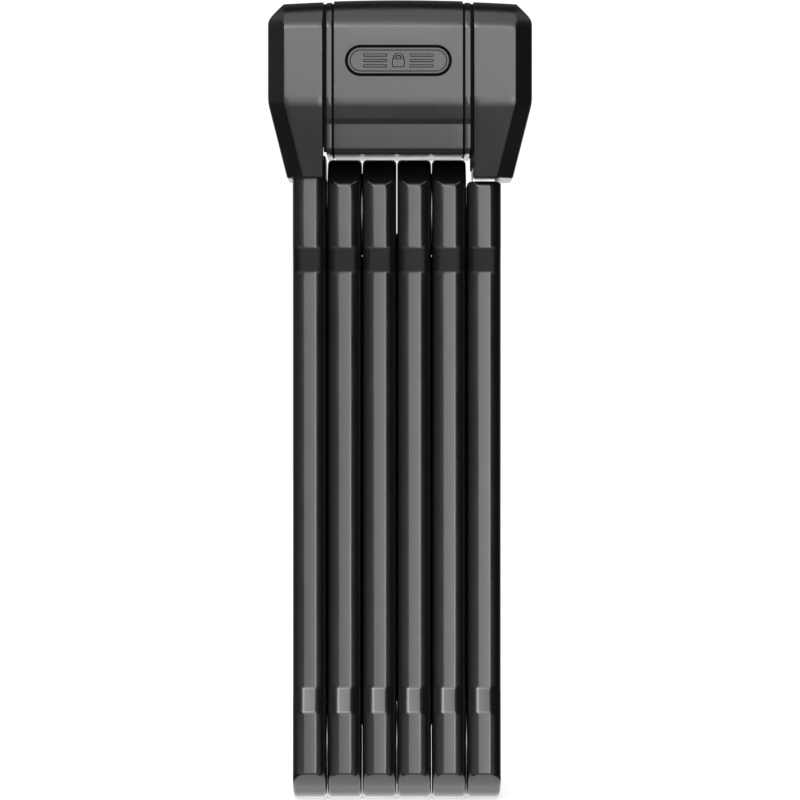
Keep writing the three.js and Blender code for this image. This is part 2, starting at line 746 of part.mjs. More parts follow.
function placeHead() {
  place('lock_body', lockBody(), materials.hardenedSteel);
  place('left_cheek', leftCheek(), materials.headPlastic);
  place('right_cheek', rightCheek(), materials.headPlastic);
  place('center_frame', centreFrame(), materials.trimPlastic);
  place('front_cover', coverHalf(-1), materials.headPlastic);
  place('rear_cover', coverHalf(1), materials.headPlastic);
  place('label_plate', labelPlate(), materials.labelPlastic);
  place('socket_buffer', socketBuffer(), materials.rubber, [tongueX, 0, bufferZ[0]]);
  screwPlaces.forEach(({ face, x, z }, i) => {
    const seat = [x, face * (tabY[1] + faceClearance), z];
    const screw = place(`cheek_screw_${i + 1}`, cheekScrew(), materials.rivetSteel, seat);
    screw.rotation.x = face < 0 ? 0 : Math.PI;
  });
}

function placeMechanism() {
  const axis = [cylinderX, 0, 0];
  place('cylinder_housing', cylinderHousing(), materials.brass, axis);
  place('cylinder_plug', cylinderPlug(), materials.brass, axis);
  for (let i = 0; i < discCount; i += 1) {
    const discZ = plugBottomZ + bodyGap + i * discPitch;
    place(`locking_disc_${i + 1}`, lockingDisc(), materials.brass, [cylinderX, 0, discZ]);
  }
  place('sidebar', sidebar(), materials.rivetSteel, axis);
  place('bolt_driver', boltDriver(), materials.hardenedSteel, axis);
  place('locking_bolt', lockingBolt(), materials.hardenedSteel);
  const ringSeatZ = [plugTopZ + bodyGap, housingTopZ - bodyGap];
  const drillPlateZ = [housingTopZ + socketClearance, bodyTopZ - socketClearance];
  const sealZ = [bodyTopZ, bezelZ[0] - faceClearance];
  const retainingRing = ringZ(keyMouthRadius, ringSeatRadius - socketClearance, ringSeatZ);
  const drillPlate = ringZ(keyMouthRadius, housingRadius, drillPlateZ);
  const seal = ringZ(keyMouthRadius, plugRadius, sealZ);
  place('plug_retaining_ring', retainingRing, materials.rivetSteel, axis);
  place('anti_drill_plate', drillPlate, materials.hardenedSteel, axis);
  place('keyhole_seal', seal, materials.rubber, axis);
  place('keyhole_bezel', keyholeBezel(), materials.trimPlastic);
  place('keyhole_cover', keyholeCover(), materials.trimPlastic, [slideRestX, 0, 0]);
}

placeBars();
placeHeadPivot();
placeHead();
placeMechanism();

export default lock;
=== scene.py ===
"""Folding bike lock, folded and standing on a pale floor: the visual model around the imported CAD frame.

Shapes are worked out in millimetres and turned into metres when a mesh is made. +X runs across the
bars, -Y is the front, +Z is up.
"""
import json
import math

import bmesh
import bpy
from mathutils import Matrix, Vector


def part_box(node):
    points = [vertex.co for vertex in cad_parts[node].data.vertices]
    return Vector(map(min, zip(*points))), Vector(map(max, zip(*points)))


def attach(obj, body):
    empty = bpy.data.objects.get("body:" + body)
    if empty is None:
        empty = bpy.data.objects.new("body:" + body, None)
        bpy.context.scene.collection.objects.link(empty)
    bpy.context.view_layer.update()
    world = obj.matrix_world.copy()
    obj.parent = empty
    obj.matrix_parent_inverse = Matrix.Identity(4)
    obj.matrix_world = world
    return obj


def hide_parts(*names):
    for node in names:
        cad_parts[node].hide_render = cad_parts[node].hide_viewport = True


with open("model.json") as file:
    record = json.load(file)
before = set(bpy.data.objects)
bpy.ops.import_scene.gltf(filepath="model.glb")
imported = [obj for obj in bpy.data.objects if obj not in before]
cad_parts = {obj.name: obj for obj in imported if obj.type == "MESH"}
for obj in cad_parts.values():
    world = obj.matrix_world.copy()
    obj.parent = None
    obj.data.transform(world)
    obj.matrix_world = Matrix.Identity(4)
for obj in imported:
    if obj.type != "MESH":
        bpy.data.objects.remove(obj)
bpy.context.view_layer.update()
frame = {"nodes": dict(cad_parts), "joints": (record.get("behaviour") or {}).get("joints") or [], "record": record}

MM = 0.001


def box_mm(node):
    """The lowest and highest corners of a CAD node, in millimetres."""
    low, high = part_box(node)
    return low / MM, high / MM


# ---------------------------------------------------------------- dimensions read from the frame

BAR_COUNT = 6
PIVOTS = {joint["name"]: Vector(joint["pos_m"]) / MM for joint in frame["joints"] if "pos_m" in joint}
BARS = [box_mm(f"bar_jacket_{i + 1}") for i in range(BAR_COUNT)]
BAR_X = [(low.x + high.x) / 2 for low, high in BARS]
JACKET_SWELL = 0.115            # how far a jacket's sides stand out past the CAD's, for fine gaps
BAR_HALF_THICKNESS = (BARS[1][1].x - BARS[1][0].x) / 2 + JACKET_SWELL
BAR_HALF_DEPTH = BARS[1][1].y
BOTTOM_PIVOT = PIVOTS["bar_pivot_1"].z
TOP_PIVOT = PIVOTS["bar_pivot_2"].z
HEAD_PIVOT = PIVOTS["head_pivot"].z
END_RADIUS = BOTTOM_PIVOT

RIGHT_CHEEK = box_mm("right_cheek")
FRAME_BOX = box_mm("center_frame")
COVER = box_mm("front_cover")
LABEL = box_mm("label_plate")
BEZEL = box_mm("keyhole_bezel")
SLIDE = box_mm("keyhole_cover")
SLIDE_TRAVEL = next(j["range_m"][1] for j in frame["joints"] if j["name"] == "keyhole_slide") / MM
HEAD_HALF_WIDTH = RIGHT_CHEEK[1].x
HEAD_HALF_DEPTH = RIGHT_CHEEK[1].y
HEAD_BOTTOM = RIGHT_CHEEK[0].z
HEAD_TOP = FRAME_BOX[1].z

# ---------------------------------------------------------------- dimensions of the visible shapes

# Bars: the strip along the front, the shoulder beside it, and the two ramps to the thinner middle.
STRIP_HALF_WIDTH = 1.3
STRIP_BEVEL = (0.24, 0.03)      # across and deep
SHOULDER_DEEP = 2.3
SHOULDER_START = math.asin(0.22)  # where on the ellipse the shoulder begins
SHOULDER_STEPS = 12
SIDE_STEPS = 22
WAIST_HALF_DEPTH = 10.65
LOWER_RAMP = (22.4, 28.7)
UPPER_RAMP = (133.3, 139.6)
RAMP_FILLET = 0.5
END_ROUNDING = 1.05
RIM_BEVEL = 0.1
PANEL_HEIGHT = 0.1
PANEL_MARGIN = 1.6
PANEL_FREE_ENDS = (16.2, 150.3)  # where a panel ends if no washer is there
PANEL_WASHER_GAP = 0.5
CORE_HALF_THICKNESS = 2.75
CORE_INSET = 1.4                # the jacket's thickness round the steel core
POCKET_GAP = 0.12
WINDOW_RADIUS = 8.1
WINDOW_FLARE = 0.3
WASHER_RADIUS = 10.4
WASHER_FLANGE = 0.09            # half of its thickness
WASHER_EDGE = 0.04
HUB_RADII = (4.1, 7.6)
HUB_EDGE = 0.1
RIVET_HEAD_THICKNESS = 1.27
RIVET_PIN_RADIUS = 4.0
RIVET_DIMPLE = ((0.0, 0.45), (1.3, 0.4), (1.7, 0.12), (2.0, 0.03), (4.2, 0.0))      # radius and depth
RIVET_RIM = ((1.0, 0.08), (0.45, 0.25), (0.12, 0.55), (0.0, 0.9))      # inside the rim, and depth
TONGUE_HALF_WIDTH = 7.0
# Bar 1's hidden top is lower and slimmer than the CAD's, so that it swings clear of the lock body.
HIDDEN_TOP_DROP = 1.5
HEAD_CLEARANCE = 0.2

# Head: heights from the bottom up, then slopes, then roundings
CENTRE_BOTTOM = FRAME_BOX[0].z
CENTRE_CREASE = 171.5
CREASE = 175.7
CREST_START = 190.0
BEVEL_START = 194.3
SIDE_TOP = 197.3
LOWER_SLOPE = math.radians(12.5)
LOWER_FACE_TILT = math.radians(6.5)
SIDE_TAPER = math.radians(14.1)
CHAMFER_ACROSS = 4.0
CHAMFER_DEEP = 4.2
TOP_LEAN = 0.2                  # how much wider the side ends at the very top
ROLL_START = math.radians(5)
ROLL_END = math.radians(80)
CREST_RADIUS = 495.0            # of the shallow arch of the top, seen from the front
CREST_RISE = 0.3
CHEEK_CREST_DROP = 0.15
CENTRE_SKIRT = 0.25
CREASE_STEP = (1.25, 0.5)       # down and in
BOTTOM_EDGE = 1.5
CREASE_FILLET = 0.15
SLOPE_FILLET = 1.4
EDGE_ROUND = 0.45
CHEEK_RIM = ((0.0, 0.45), (0.13, 0.13), (0.45, 0.0))    # up from the bottom, and drawn in
CHEEK_PLANES = (-19.25, 18.4)   # the cheeks' inner faces
WALL = 1.8
COVER_WALL = 1.5
FRAME_WALL = 3.0
FRAME_TOP_DROP = 0.35
SEAM = 0.45
# Painted shade rings in the head's gaps: how far below the surface they sit, and how far they stay from the
# cheeks.
SHADE_RING_INSET = 0.6
SHADE_RING_GAP = 0.1
SWING_GAP = 0.4
SWING_SIDE_GAP = 0.3
MOUTH_GAP = (0.3, 0.4)          # beside the tongue, across and in depth

# Label: its groove runs from outside the plate's outline to inside it.
LABEL_GROOVE = (-0.3, 0.36)
RELIEF = 0.22
RELIEF_ROOT = 0.3
RIB_PLACE = 5.8
RIB_LENGTH = 6.0
RIB_WIDTH = 0.8
RIB_PITCH = 1.35
PADLOCK_HALF_WIDTH = 1.6
PADLOCK_HEIGHTS = (-1.7, 0.5)
SHACKLE_HEIGHT = 0.6
SHACKLE_RADII = (0.5, 0.8, 1.1, 1.4)

# Keyhole
BEZEL_GAP = 0.15
SLIDE_GAP = 0.3
RAIL_HEIGHT = 1.0
LIP = 1.0                       # how far the bezel reaches over each edge of the sliding cover
LEAD_IN = 0.35
THUMB_RIB_PITCH = 1.5
THUMB_RIB_HALF_WIDTH = 0.38

OVER = 1.0                      # how far a cutter reaches past what it cuts


# ---------------------------------------------------------------- meshes

def new_object(name, points, faces):
    """A mesh object from points in millimetres, with its faces turned outwards."""
    mesh = bpy.data.meshes.new(name)
    mesh.from_pydata([Vector(p) * MM for p in points], [], faces)
    bm = bmesh.new()
    bm.from_mesh(mesh)
    bmesh.ops.remove_doubles(bm, verts=bm.verts, dist=1e-7)
    bmesh.ops.recalc_face_normals(bm, faces=bm.faces)
    bm.to_mesh(mesh)
    bm.free()
    obj = bpy.data.objects.new(name, mesh)
    bpy.context.scene.collection.objects.link(obj)
    return obj


def loft(name, rings, cap=True):
    """Quads between closed rings of equal length. A ring runs out along one half and back along its mirror
    image, so that its two ends are closed by strips from each point to its mirror point."""
    count = len(rings[0])
    points = [p for ring in rings for p in ring]
    faces = []
    for r in range(len(rings) - 1):
        a, b = r * count, (r + 1) * count
        faces += [(a + i, a + (i + 1) % count, b + (i + 1) % count, b + i) for i in range(count)]
    if cap:
        for start in (0, (len(rings) - 1) * count):
            faces += [
                (start + i, start + i + 1, start + count - 2 - i, start + count - 1 - i)
                for i in range(count // 2 - 1)
            ]
    return new_object(name, points, faces)


def apply_modifiers(obj):
    """Makes what the modifiers show into the object's own mesh."""
    bpy.context.view_layer.update()
    evaluated = obj.evaluated_get(bpy.context.evaluated_depsgraph_get())
    mesh = bpy.data.meshes.new_from_object(evaluated)
    obj.modifiers.clear()
    obj.data = mesh
    return obj


def combine(obj, others, operation):
    """A boolean with each of the others, which are used up."""
    for other in others:
        modifier = obj.modifiers.new(operation, "BOOLEAN")
        modifier.operation = operation
        modifier.solver = "EXACT"
        modifier.object = other
        apply_modifiers(obj)
        bpy.data.objects.remove(other)
    return obj


def carve(obj, *cutters):
    """Cuts each cutter's space out of the object."""
    return combine(obj, cutters, "DIFFERENCE")


def join(obj, *others):
    """Makes one solid of the object and the others."""
    return combine(obj, others, "UNION")


def bevel(obj, width, segments=3, angle=30):
    """Rounds the edges that are sharper than the angle."""
    modifier = obj.modifiers.new("bevel", "BEVEL")
    modifier.width = width * MM
    modifier.segments = segments
    modifier.limit_method = "ANGLE"
    modifier.angle_limit = math.radians(angle)
    modifier.use_clamp_overlap = True
    return obj


def smooth(obj, angle=28):
    """Smooth shading that keeps flat faces flat and edges sharper than the angle sharp."""
    obj.data.shade_smooth()
    obj.data.set_sharp_from_angle(angle=math.radians(angle))
    modifier = obj.modifiers.new("weighted normals", "WEIGHTED_NORMAL")
    modifier.keep_sharp = True
    modifier.weight = 100
    return obj


def block(name, x, y, z, rounding=0.0, segments=3):
    """A box between two places on each axis, with its edges rounded."""
    points = [(a, b, c) for a in x for b in y for c in z]
    faces = [(0, 1, 3, 2), (4, 6, 7, 5), (0, 4, 5, 1), (2, 3, 7, 6), (0, 2, 6, 4), (1, 5, 7, 3)]
    obj = new_object(name, points, faces)
    if rounding:
        apply_modifiers(bevel(obj, rounding, segments))
    return obj


def turned(name, profile, centre, axis="X", sides=96):
    """A profile of (radius, place along the axis) turned about an axis through the centre. A profile that
    starts and ends on the axis makes a solid, and any other closes on itself into a ring."""
    closed_on_axis = profile[0][0] == 0
    rings = []
    for radius, along in profile:
        ring = []
        for i in range(sides):
            angle = 2 * math.pi * i / sides
            u, v = radius * math.cos(angle), radius * math.sin(angle)
            offset = (along, u, v) if axis == "X" else (u, v, along)
            ring.append(tuple(c + o for c, o in zip(centre, offset)))
        rings.append(ring)
    if not closed_on_axis:
        rings.append(rings[0])
    return loft(name, rings, cap=False)


# ---------------------------------------------------------------- profiles

def filleted(corners, fillet, steps=4):
    """A line through corner points (place, value) with a parabola in place of each inner corner."""
    line = [corners[0]]
    for before, corner, after in zip(corners, corners[1:], corners[2:]):
        start = toward(corner, before, fillet)
        end = toward(corner, after, fillet)
        for k in range(steps + 1):
            t = k / steps
            weights = ((1 - t) ** 2, 2 * t * (1 - t), t ** 2)
            line.append(tuple(
                sum(w * p[axis] for w, p in zip(weights, (start, corner, end))) for axis in (0, 1)))
    line.append(corners[-1])
    return line


def toward(point, other, distance):
    """The point a distance away from the first point, on the way to the other one."""
    length = math.dist(point, other)
    share = min(distance / length, 0.5)
    return tuple(p + (o - p) * share for p, o in zip(point, other))


def value_at(line, place):
    """The value of a line of (place, value) points at a place."""
    for (p0, v0), (p1, v1) in zip(line, line[1:]):
        if p0 <= place <= p1:
            return v0 + (v1 - v0) * (place - p0) / max(p1 - p0, 1e-9)
    return line[0][1] if place < line[0][0] else line[-1][1]


# ---------------------------------------------------------------- bars

BAR_DEPTHS = filleted([
    (0, BAR_HALF_DEPTH),
    (LOWER_RAMP[0], BAR_HALF_DEPTH),
    (LOWER_RAMP[1], WAIST_HALF_DEPTH),
    (UPPER_RAMP[0], WAIST_HALF_DEPTH),
    (UPPER_RAMP[1], BAR_HALF_DEPTH),
    (HEAD_TOP, BAR_HALF_DEPTH),
], RAMP_FILLET)
RING_DEPTHS = (0.0, 0.06, 0.16, 0.32, 0.55, 0.8, 1.1)


def shoulder_line():
    """From the strip's edge to the flat side, as (x, how far behind the strip): a narrow bevel, then part of
    an ellipse that ends upright."""
    across, deep = STRIP_BEVEL
    start = STRIP_HALF_WIDTH + across
    lead = math.sin(SHOULDER_START)
    reach = (BAR_HALF_THICKNESS - start) / (1 - lead)
    line = [(STRIP_HALF_WIDTH, 0.0)]
    for k in range(SHOULDER_STEPS + 1):
        t = SHOULDER_START + (math.pi / 2 - SHOULDER_START) * k / SHOULDER_STEPS
        line.append((
            start + reach * (math.sin(t) - lead),
            deep + SHOULDER_DEEP * (math.cos(SHOULDER_START) - math.cos(t)),
        ))
    return line


SHOULDER = shoulder_line()


def section_half(depth):
    """The +X half of a bar's section, from front to back, as (x, y)."""
    front = [(x, back - depth) for x, back in SHOULDER]
    side_y = front[-1][1]
    side = [(BAR_HALF_THICKNESS, side_y * (1 - 2 * k / SIDE_STEPS)) for k in range(1, SIDE_STEPS)]
    return front + side + [(x, -y) for x, y in reversed(front)]


def pocket_half(depth):
    """The same for the pocket that holds the steel core, which is a plain rectangle."""
    x = CORE_HALF_THICKNESS + POCKET_GAP
    reach = depth - CORE_INSET + POCKET_GAP
    return [(x, reach * (2 * k / SIDE_STEPS - 1)) for k in range(SIDE_STEPS + 1)]


def draw_in(x, distance):
    """A section point near the end of a bar: the strip stays where it is and the sides draw in round a
    quarter circle."""
    short = END_ROUNDING - min(max(distance, 0.0), END_ROUNDING)
    relief = END_ROUNDING - math.sqrt(END_ROUNDING ** 2 - short ** 2)
    share = (x - STRIP_HALF_WIDTH) / (BAR_HALF_THICKNESS - STRIP_HALF_WIDTH)
    return x - relief * share


def bar_solid(name, centre_x, top_pivot, flat_top, section=section_half, inset=0.0):
    """One bar, from its lower arc to an upper arc, a flat top, or an arc that is cut off flat. With an inset
    it is the pocket for the core, whose ends are left sharp."""
    radius = END_RADIUS - inset
    ends = [(BOTTOM_PIVOT, -1, None), (top_pivot, 1, flat_top)]
    ring_depths = RING_DEPTHS if inset == 0 else (0.0,)
    full = section(BAR_HALF_DEPTH)

    def end_height(y, deep, end):
        """The height of an end at a depth on Y, for a ring that is a distance deep inside the end."""
        pivot, way, flat = end
        over = math.sqrt(max((radius - deep) ** 2 - y ** 2, 0.0))
        arc = pivot + way * over if pivot is not None else flat - deep
        return min(arc, flat - deep) if flat is not None else arc

    def distance_in(y, z):
        """How far inside the nearest end a point is."""
        found = [radius - math.hypot(y, z - pivot) for pivot, way, _ in ends
                 if pivot is not None and (z - pivot) * way > 0]
        found += [flat - z for _, _, flat in ends if flat is not None]
        return min(found, default=END_ROUNDING)

    def ring(half, heights):
        """Both halves of the section, with a height for each point."""
        placed = [(draw_in(x, distance_in(y, z)) if inset == 0 else x, y, z)
                  for (x, y), z in zip(half, heights)]
        right = [(centre_x + x, y, z) for x, y, z in placed]
        left = [(centre_x - x, y, z) for x, y, z in placed]
        return right + left[::-1]

    def end_rings(end):
        """The rings from a bar's end inwards: the first is drawn in all round, so that the rim is broken."""
        rim = RIM_BEVEL if inset == 0 else 0.0
        found = []
        for k, deep in enumerate(ring_depths):
            share = 1 - rim / BAR_HALF_DEPTH if k == 0 else 1.0
            half = [(x - (rim if k == 0 and x > STRIP_HALF_WIDTH else 0.0), y * share) for x, y in full]
            found.append(ring(half, [end_height(y, deep, end) for _, y in half]))
        return found

    rings = end_rings(ends[0])
    middle = [BOTTOM_PIVOT - 1] + [z for z, _ in BAR_DEPTHS[1:-1]] + [TOP_PIVOT - 1]
    for z in middle:
        half = section(value_at(BAR_DEPTHS, z))
        rings.append(ring(half, [z] * len(half)))
    rings += end_rings(ends[1])[::-1]
    return loft(name, rings)


def window_cutter(centre_x, pivot_z):
    """A round window through a jacket, flared a little at both sides."""
    edge = BAR_HALF_THICKNESS
    wide = WINDOW_RADIUS + WINDOW_FLARE + OVER
    half = [(0, edge + OVER), (wide, edge + OVER), (WINDOW_RADIUS, edge - WINDOW_FLARE)]
    profile = half + [(r, -x) for r, x in reversed(half)]
    return turned("window", profile, (centre_x, 0, pivot_z))


def side_panel(centre_x, side, low, high):
    """The slightly raised middle of a flat side, which stops clear of the washers and of the free ends."""
    face = centre_x + side * BAR_HALF_THICKNESS
    x = sorted([face - side * 1.0, face + side * PANEL_HEIGHT])
    half_depth = WAIST_HALF_DEPTH - SHOULDER[-1][1] - PANEL_MARGIN
    return block("panel", x, [-half_depth, half_depth], [low, high], 0.15, 2)


def jacket_panels(i):
    """The panels on those sides of bar i that face another bar."""
    washer_ends = (
        BOTTOM_PIVOT + WASHER_RADIUS + PANEL_WASHER_GAP,
        TOP_PIVOT - WASHER_RADIUS - PANEL_WASHER_GAP,
    )
    panels = []
    for side in (-1, 1):
        gap = i if side > 0 else i - 1
        if 0 <= gap < BAR_COUNT - 1:
            joined_below = gap % 2 == 0
            low = washer_ends[0] if joined_below else PANEL_FREE_ENDS[0]
            high = PANEL_FREE_ENDS[1] if joined_below else washer_ends[1]
            panels.append(side_panel(BAR_X[i], side, low, high))
    return panels


def hidden_top_cutters(x, top):
    """Slims bar 1 where it stands inside the head."""
    cutters = []
    for side in (-1, 1):
        slim = BAR_HALF_THICKNESS - HEAD_CLEARANCE
        across = sorted([x + side * slim, x + side * (slim + OVER)])
        cutters.append(block("clearance", across, [-END_RADIUS, END_RADIUS], [HEAD_BOTTOM, top + OVER]))
    return cutters


def tongue_exit(x, top):
    """The opening in the last bar's flat top, where its steel tongue comes out."""
    deep = 4.0
    width = CORE_HALF_THICKNESS + POCKET_GAP
    half = TONGUE_HALF_WIDTH + POCKET_GAP
    return block("exit", [x - width, x + width], [-half, half], [top - deep, top + OVER])


def bar_jacket(i):
    """The plastic jacket of bar i, counted from 0 at the left."""
    x = BAR_X[i]
    first, last = i == 0, i == BAR_COUNT - 1
    top_pivot = None if first else TOP_PIVOT
    flat_top, pocket_top = None, None
    cutters = [window_cutter(x, BOTTOM_PIVOT)]
    if first:
        flat_top = BARS[i][1].z - HIDDEN_TOP_DROP
        pocket_top = flat_top + OVER
        cutters += hidden_top_cutters(x, flat_top)
    elif last:
        flat_top = BARS[i][1].z
        pocket_top = flat_top - 2 * OVER
        cutters.append(tongue_exit(x, flat_top))
    else:
        cutters.append(window_cutter(x, TOP_PIVOT))
    jacket = bar_solid(f"visual_bar_jacket_{i + 1}", x, top_pivot, flat_top)
    join(jacket, *jacket_panels(i))
    pocket = bar_solid("pocket", x, top_pivot, pocket_top, pocket_half, CORE_INSET - POCKET_GAP)
    carve(jacket, pocket, *cutters)
    node = f"bar_jacket_{i + 1}"
    return finish_piece(jacket, f"bar_{i + 1}", "jacket_plastic", jacket_plastic, node)


def bar_rivet(i):
    """A rivet with a low crowned head at both ends, each with a turned dimple."""
    low, high = box_mm(f"bar_rivet_{i + 1}")
    centre = (low + high) / 2
    end = (high.x - low.x) / 2
    head = (high.z - low.z) / 2
    grip = end - RIVET_HEAD_THICKNESS
    half = [(radius, end - deep) for radius, deep in RIVET_DIMPLE]
    half += [(head - inside, end - deep) for inside, deep in RIVET_RIM]
    half += [(head, grip), (RIVET_PIN_RADIUS, grip)]
    node = f"bar_rivet_{i + 1}"
    rivet = turned(f"visual_{node}", half + [(r, -x) for r, x in reversed(half)], centre)
    return finish_piece(rivet, f"bar_{i + 1}", "rivet_steel", rivet_steel, node)


def spacer_washer(i):
    """The hub between two cores and the thin flange between their jackets."""
    low, high = box_mm(f"spacer_washer_{i + 1}")
    centre = (low + high) / 2
    hub = (high.x - low.x) / 2
    rim = (high.z - low.z) / 2
    bore, hub_radius = HUB_RADII
    half = [
        (bore, hub), (hub_radius - HUB_EDGE, hub), (hub_radius, hub - HUB_EDGE), (hub_radius, WASHER_FLANGE),
        (rim - WASHER_EDGE, WASHER_FLANGE), (rim, WASHER_FLANGE - WASHER_EDGE),
    ]
    node = f"spacer_washer_{i + 1}"
    washer = turned(f"visual_{node}", half + [(r, -x) for r, x in reversed(half)], centre)
    return finish_piece(washer, f"bar_{i + 1}", "rivet_steel", burnished_steel_and_painted_shade, node)


# ---------------------------------------------------------------- head profiles

LOWEST_DROP = CREASE - HEAD_BOTTOM
CHEEK_DEPTHS = filleted([
    (HEAD_BOTTOM, HEAD_HALF_DEPTH - LOWEST_DROP * math.tan(LOWER_SLOPE)),
    (CREASE, HEAD_HALF_DEPTH),
    (BEVEL_START, HEAD_HALF_DEPTH),
], 1.5, 6)
CHEEK_WIDTHS = filleted([
    (HEAD_BOTTOM, HEAD_HALF_WIDTH - LOWEST_DROP * math.tan(SIDE_TAPER)),
    (CREASE, HEAD_HALF_WIDTH),
    (SIDE_TOP, HEAD_HALF_WIDTH),
    (HEAD_TOP, HEAD_HALF_WIDTH - CHAMFER_ACROSS + TOP_LEAN),
], 1.4, 5)
FACE_WIDTHS = filleted([
    (HEAD_BOTTOM, HEAD_HALF_WIDTH - CHAMFER_ACROSS - LOWEST_DROP * math.tan(SIDE_TAPER)),
    (CREASE, HEAD_HALF_WIDTH - CHAMFER_ACROSS),
    (HEAD_TOP, HEAD_HALF_WIDTH - CHAMFER_ACROSS),
], 0.7, 3)


def roll_over(top, steps=10):
    """The rounding from the upright face to the top, as (z, depth)."""
    rise = math.sin(ROLL_END) - math.sin(ROLL_START)
    radius = (top - BEVEL_START) / rise
    line = []
    for k in range(steps + 1):
        angle = ROLL_START + (ROLL_END - ROLL_START) * k / steps
        z = BEVEL_START + radius * (math.sin(angle) - math.sin(ROLL_START))
        line.append((z, HEAD_HALF_DEPTH - radius * (math.cos(ROLL_START) - math.cos(angle))))
    return line


def crest(x, y, z):
    """Lowers the top towards the head's two ends, so that it has a shallow arch."""
    share = min(max((z - CREST_START) / (HEAD_TOP - CREST_START), 0.0), 1.0)
    return (x, y, z - share * x * x / (2 * CREST_RADIUS))


# ---------------------------------------------------------------- cheeks

def cheek_half(inner, side, depth, width, face, inset):
    """The front half of a cheek's section at one height: along the face, over the chamfer to the side."""
    depth -= inset
    start = inner + side * min(inset, EDGE_ROUND)
    across = side * (width - inset)
    edge = side * (face - inset)
    deep = CHAMFER_DEEP * (width - face) / CHAMFER_ACROSS
    corners = [(start, 0.0), (start, -depth), (edge, -depth), (across, deep - depth), (across, 0.0)]
    line = filleted(corners, EDGE_ROUND, 3)[1:-1]
    first_arc, rest = line[:4], line[4:]
    steps = 8
    along = [
        tuple(a + (b - a) * k / steps for a, b in zip(first_arc[-1], rest[0])) for k in range(1, steps)]
    return first_arc + along + rest


def cheek_solid(name, inner, side, inset=0.0):
    """The outside of a cheek, from its bottom to its crest; side is -1 for the left one."""
    rim = CHEEK_RIM if inset == 0 else ((0.0, 0.0),)
    bottom = HEAD_BOTTOM + (0 if inset == 0 else WALL)
    top = HEAD_TOP + CREST_RISE - CHEEK_CREST_DROP - inset
    levels = [(bottom + up, value_at(CHEEK_DEPTHS, bottom + up), extra) for up, extra in rim]
    levels += [(z, depth, 0.0) for z, depth in CHEEK_DEPTHS[1:-1]]
    levels += [(z, depth, 0.0) for z, depth in roll_over(top)]
    breaks = [(z, value_at(CHEEK_DEPTHS, z), 0.0) for z, _ in CHEEK_WIDTHS[1:-1] if z < BEVEL_START]
    levels = sorted(levels + breaks)
    rings = []
    for z, depth, extra in levels:
        width, face = value_at(CHEEK_WIDTHS, z), value_at(FACE_WIDTHS, z)
        half = [crest(x, y, z) for x, y in cheek_half(inner, side, depth, width, face, inset + extra)]
        rings.append(half + [(x, -y, z) for x, y, z in reversed(half)])
    return loft(name, rings)


def bar_path(low_x, high_x):
    """The space that bar 1 sweeps as it swings back, with a gap round it, between two places on X."""
    reach = 60.0
    turn = math.radians(45)
    half_width = BAR_HALF_DEPTH + SWING_GAP
    below = HEAD_PIVOT - BARS[0][1].z - SWING_GAP
    line = [(-half_width, -reach), (-half_width, -below)]
    steps = 8
    for k in range(steps + 1):
        angle = turn * k / steps
        line.append((below * math.sin(angle), -below * math.cos(angle)))
    corner = (
        below * math.sin(turn) + half_width * math.cos(turn),
        half_width * math.sin(turn) - below * math.cos(turn),
    )
    line.append(corner)
    line.append((corner[0] + reach * math.sin(turn), corner[1] - reach * math.cos(turn)))
    count = len(line)
    points = [(x, y, HEAD_PIVOT + z) for x in (low_x, high_x) for y, z in line]
    faces = [tuple(range(count)), tuple(reversed(range(count, 2 * count)))]
    faces += [(i, (i + 1) % count, count + (i + 1) % count, count + i) for i in range(count)]
    return new_object("bar path", points, faces)


def left_cheek():
    """The hollow cheek over bar 1, cut away at the back where the bar swings out."""
    inner = CHEEK_PLANES[0]
    cheek = cheek_solid("visual_left_cheek", inner, -1)
    cavity = cheek_solid("cavity", inner + OVER, -1, WALL)
    carve(cheek, cavity, bar_path(BARS[0][0].x - SWING_SIDE_GAP, inner + 2 * OVER))
    return finish_piece(cheek, "head", "head_plastic", head_plastic, "left_cheek")


def right_cheek():
    """The hollow cheek over the socket, with a mouth in its bottom for the tongue."""
    inner = CHEEK_PLANES[1]
    cheek = cheek_solid("visual_right_cheek", inner, 1)
    width = CORE_HALF_THICKNESS + MOUTH_GAP[0]
    half = TONGUE_HALF_WIDTH + MOUTH_GAP[1]
    x = BAR_X[-1]
    z = [HEAD_BOTTOM - OVER, HEAD_BOTTOM + WALL + OVER]
    mouth = block("mouth", [x - width, x + width], [-half, half], z)
    carve(cheek, cheek_solid("cavity", inner - OVER, 1, WALL), mouth)
    return finish_piece(cheek, "head", "head_plastic", head_plastic, "right_cheek")


# ---------------------------------------------------------------- centre of the head

def centre_half(inset, top_drop=0.0, seam=0.0):
    """The front half of the centre's outline, from the bottom middle to the top middle, as (y, z)."""
    lower = HEAD_HALF_DEPTH - (CREASE - CENTRE_CREASE) * math.tan(LOWER_SLOPE) - inset
    lowest = lower - CREASE_STEP[1] - (CENTRE_CREASE - CENTRE_BOTTOM) * math.tan(LOWER_FACE_TILT)
    upper = HEAD_HALF_DEPTH - inset
    bottom = CENTRE_BOTTOM - CENTRE_SKIRT + inset
    top = HEAD_TOP + CREST_RISE - inset - top_drop
    step_down, step_in = CREASE_STEP
    under = (step_in - lower, CENTRE_CREASE - step_down)
    edge = filleted([(-seam, bottom), (-lowest, bottom), under], BOTTOM_EDGE, 5)[:-1]
    step = [(-lowest, bottom), under, (-lower, CENTRE_CREASE), (-upper, CREASE)]
    crease = filleted(step, CREASE_FILLET, 2)[1:-1]
    slope = [(-lower, CENTRE_CREASE), (-upper, CREASE), (-upper, BEVEL_START)]
    shoulder = filleted(slope, SLOPE_FILLET, 6)[1:-1]
    roll = [(-(depth - inset), z) for z, depth in roll_over(top)]
    steps = 4
    crown = 0.05
    across = []
    for k in range(1, steps + 1):
        share = k / steps
        across.append((
            roll[-1][0] * (1 - share) - seam * share,
            top + crown * math.sin(share * math.pi / 2),
        ))
    return edge + crease + shoulder + roll + across


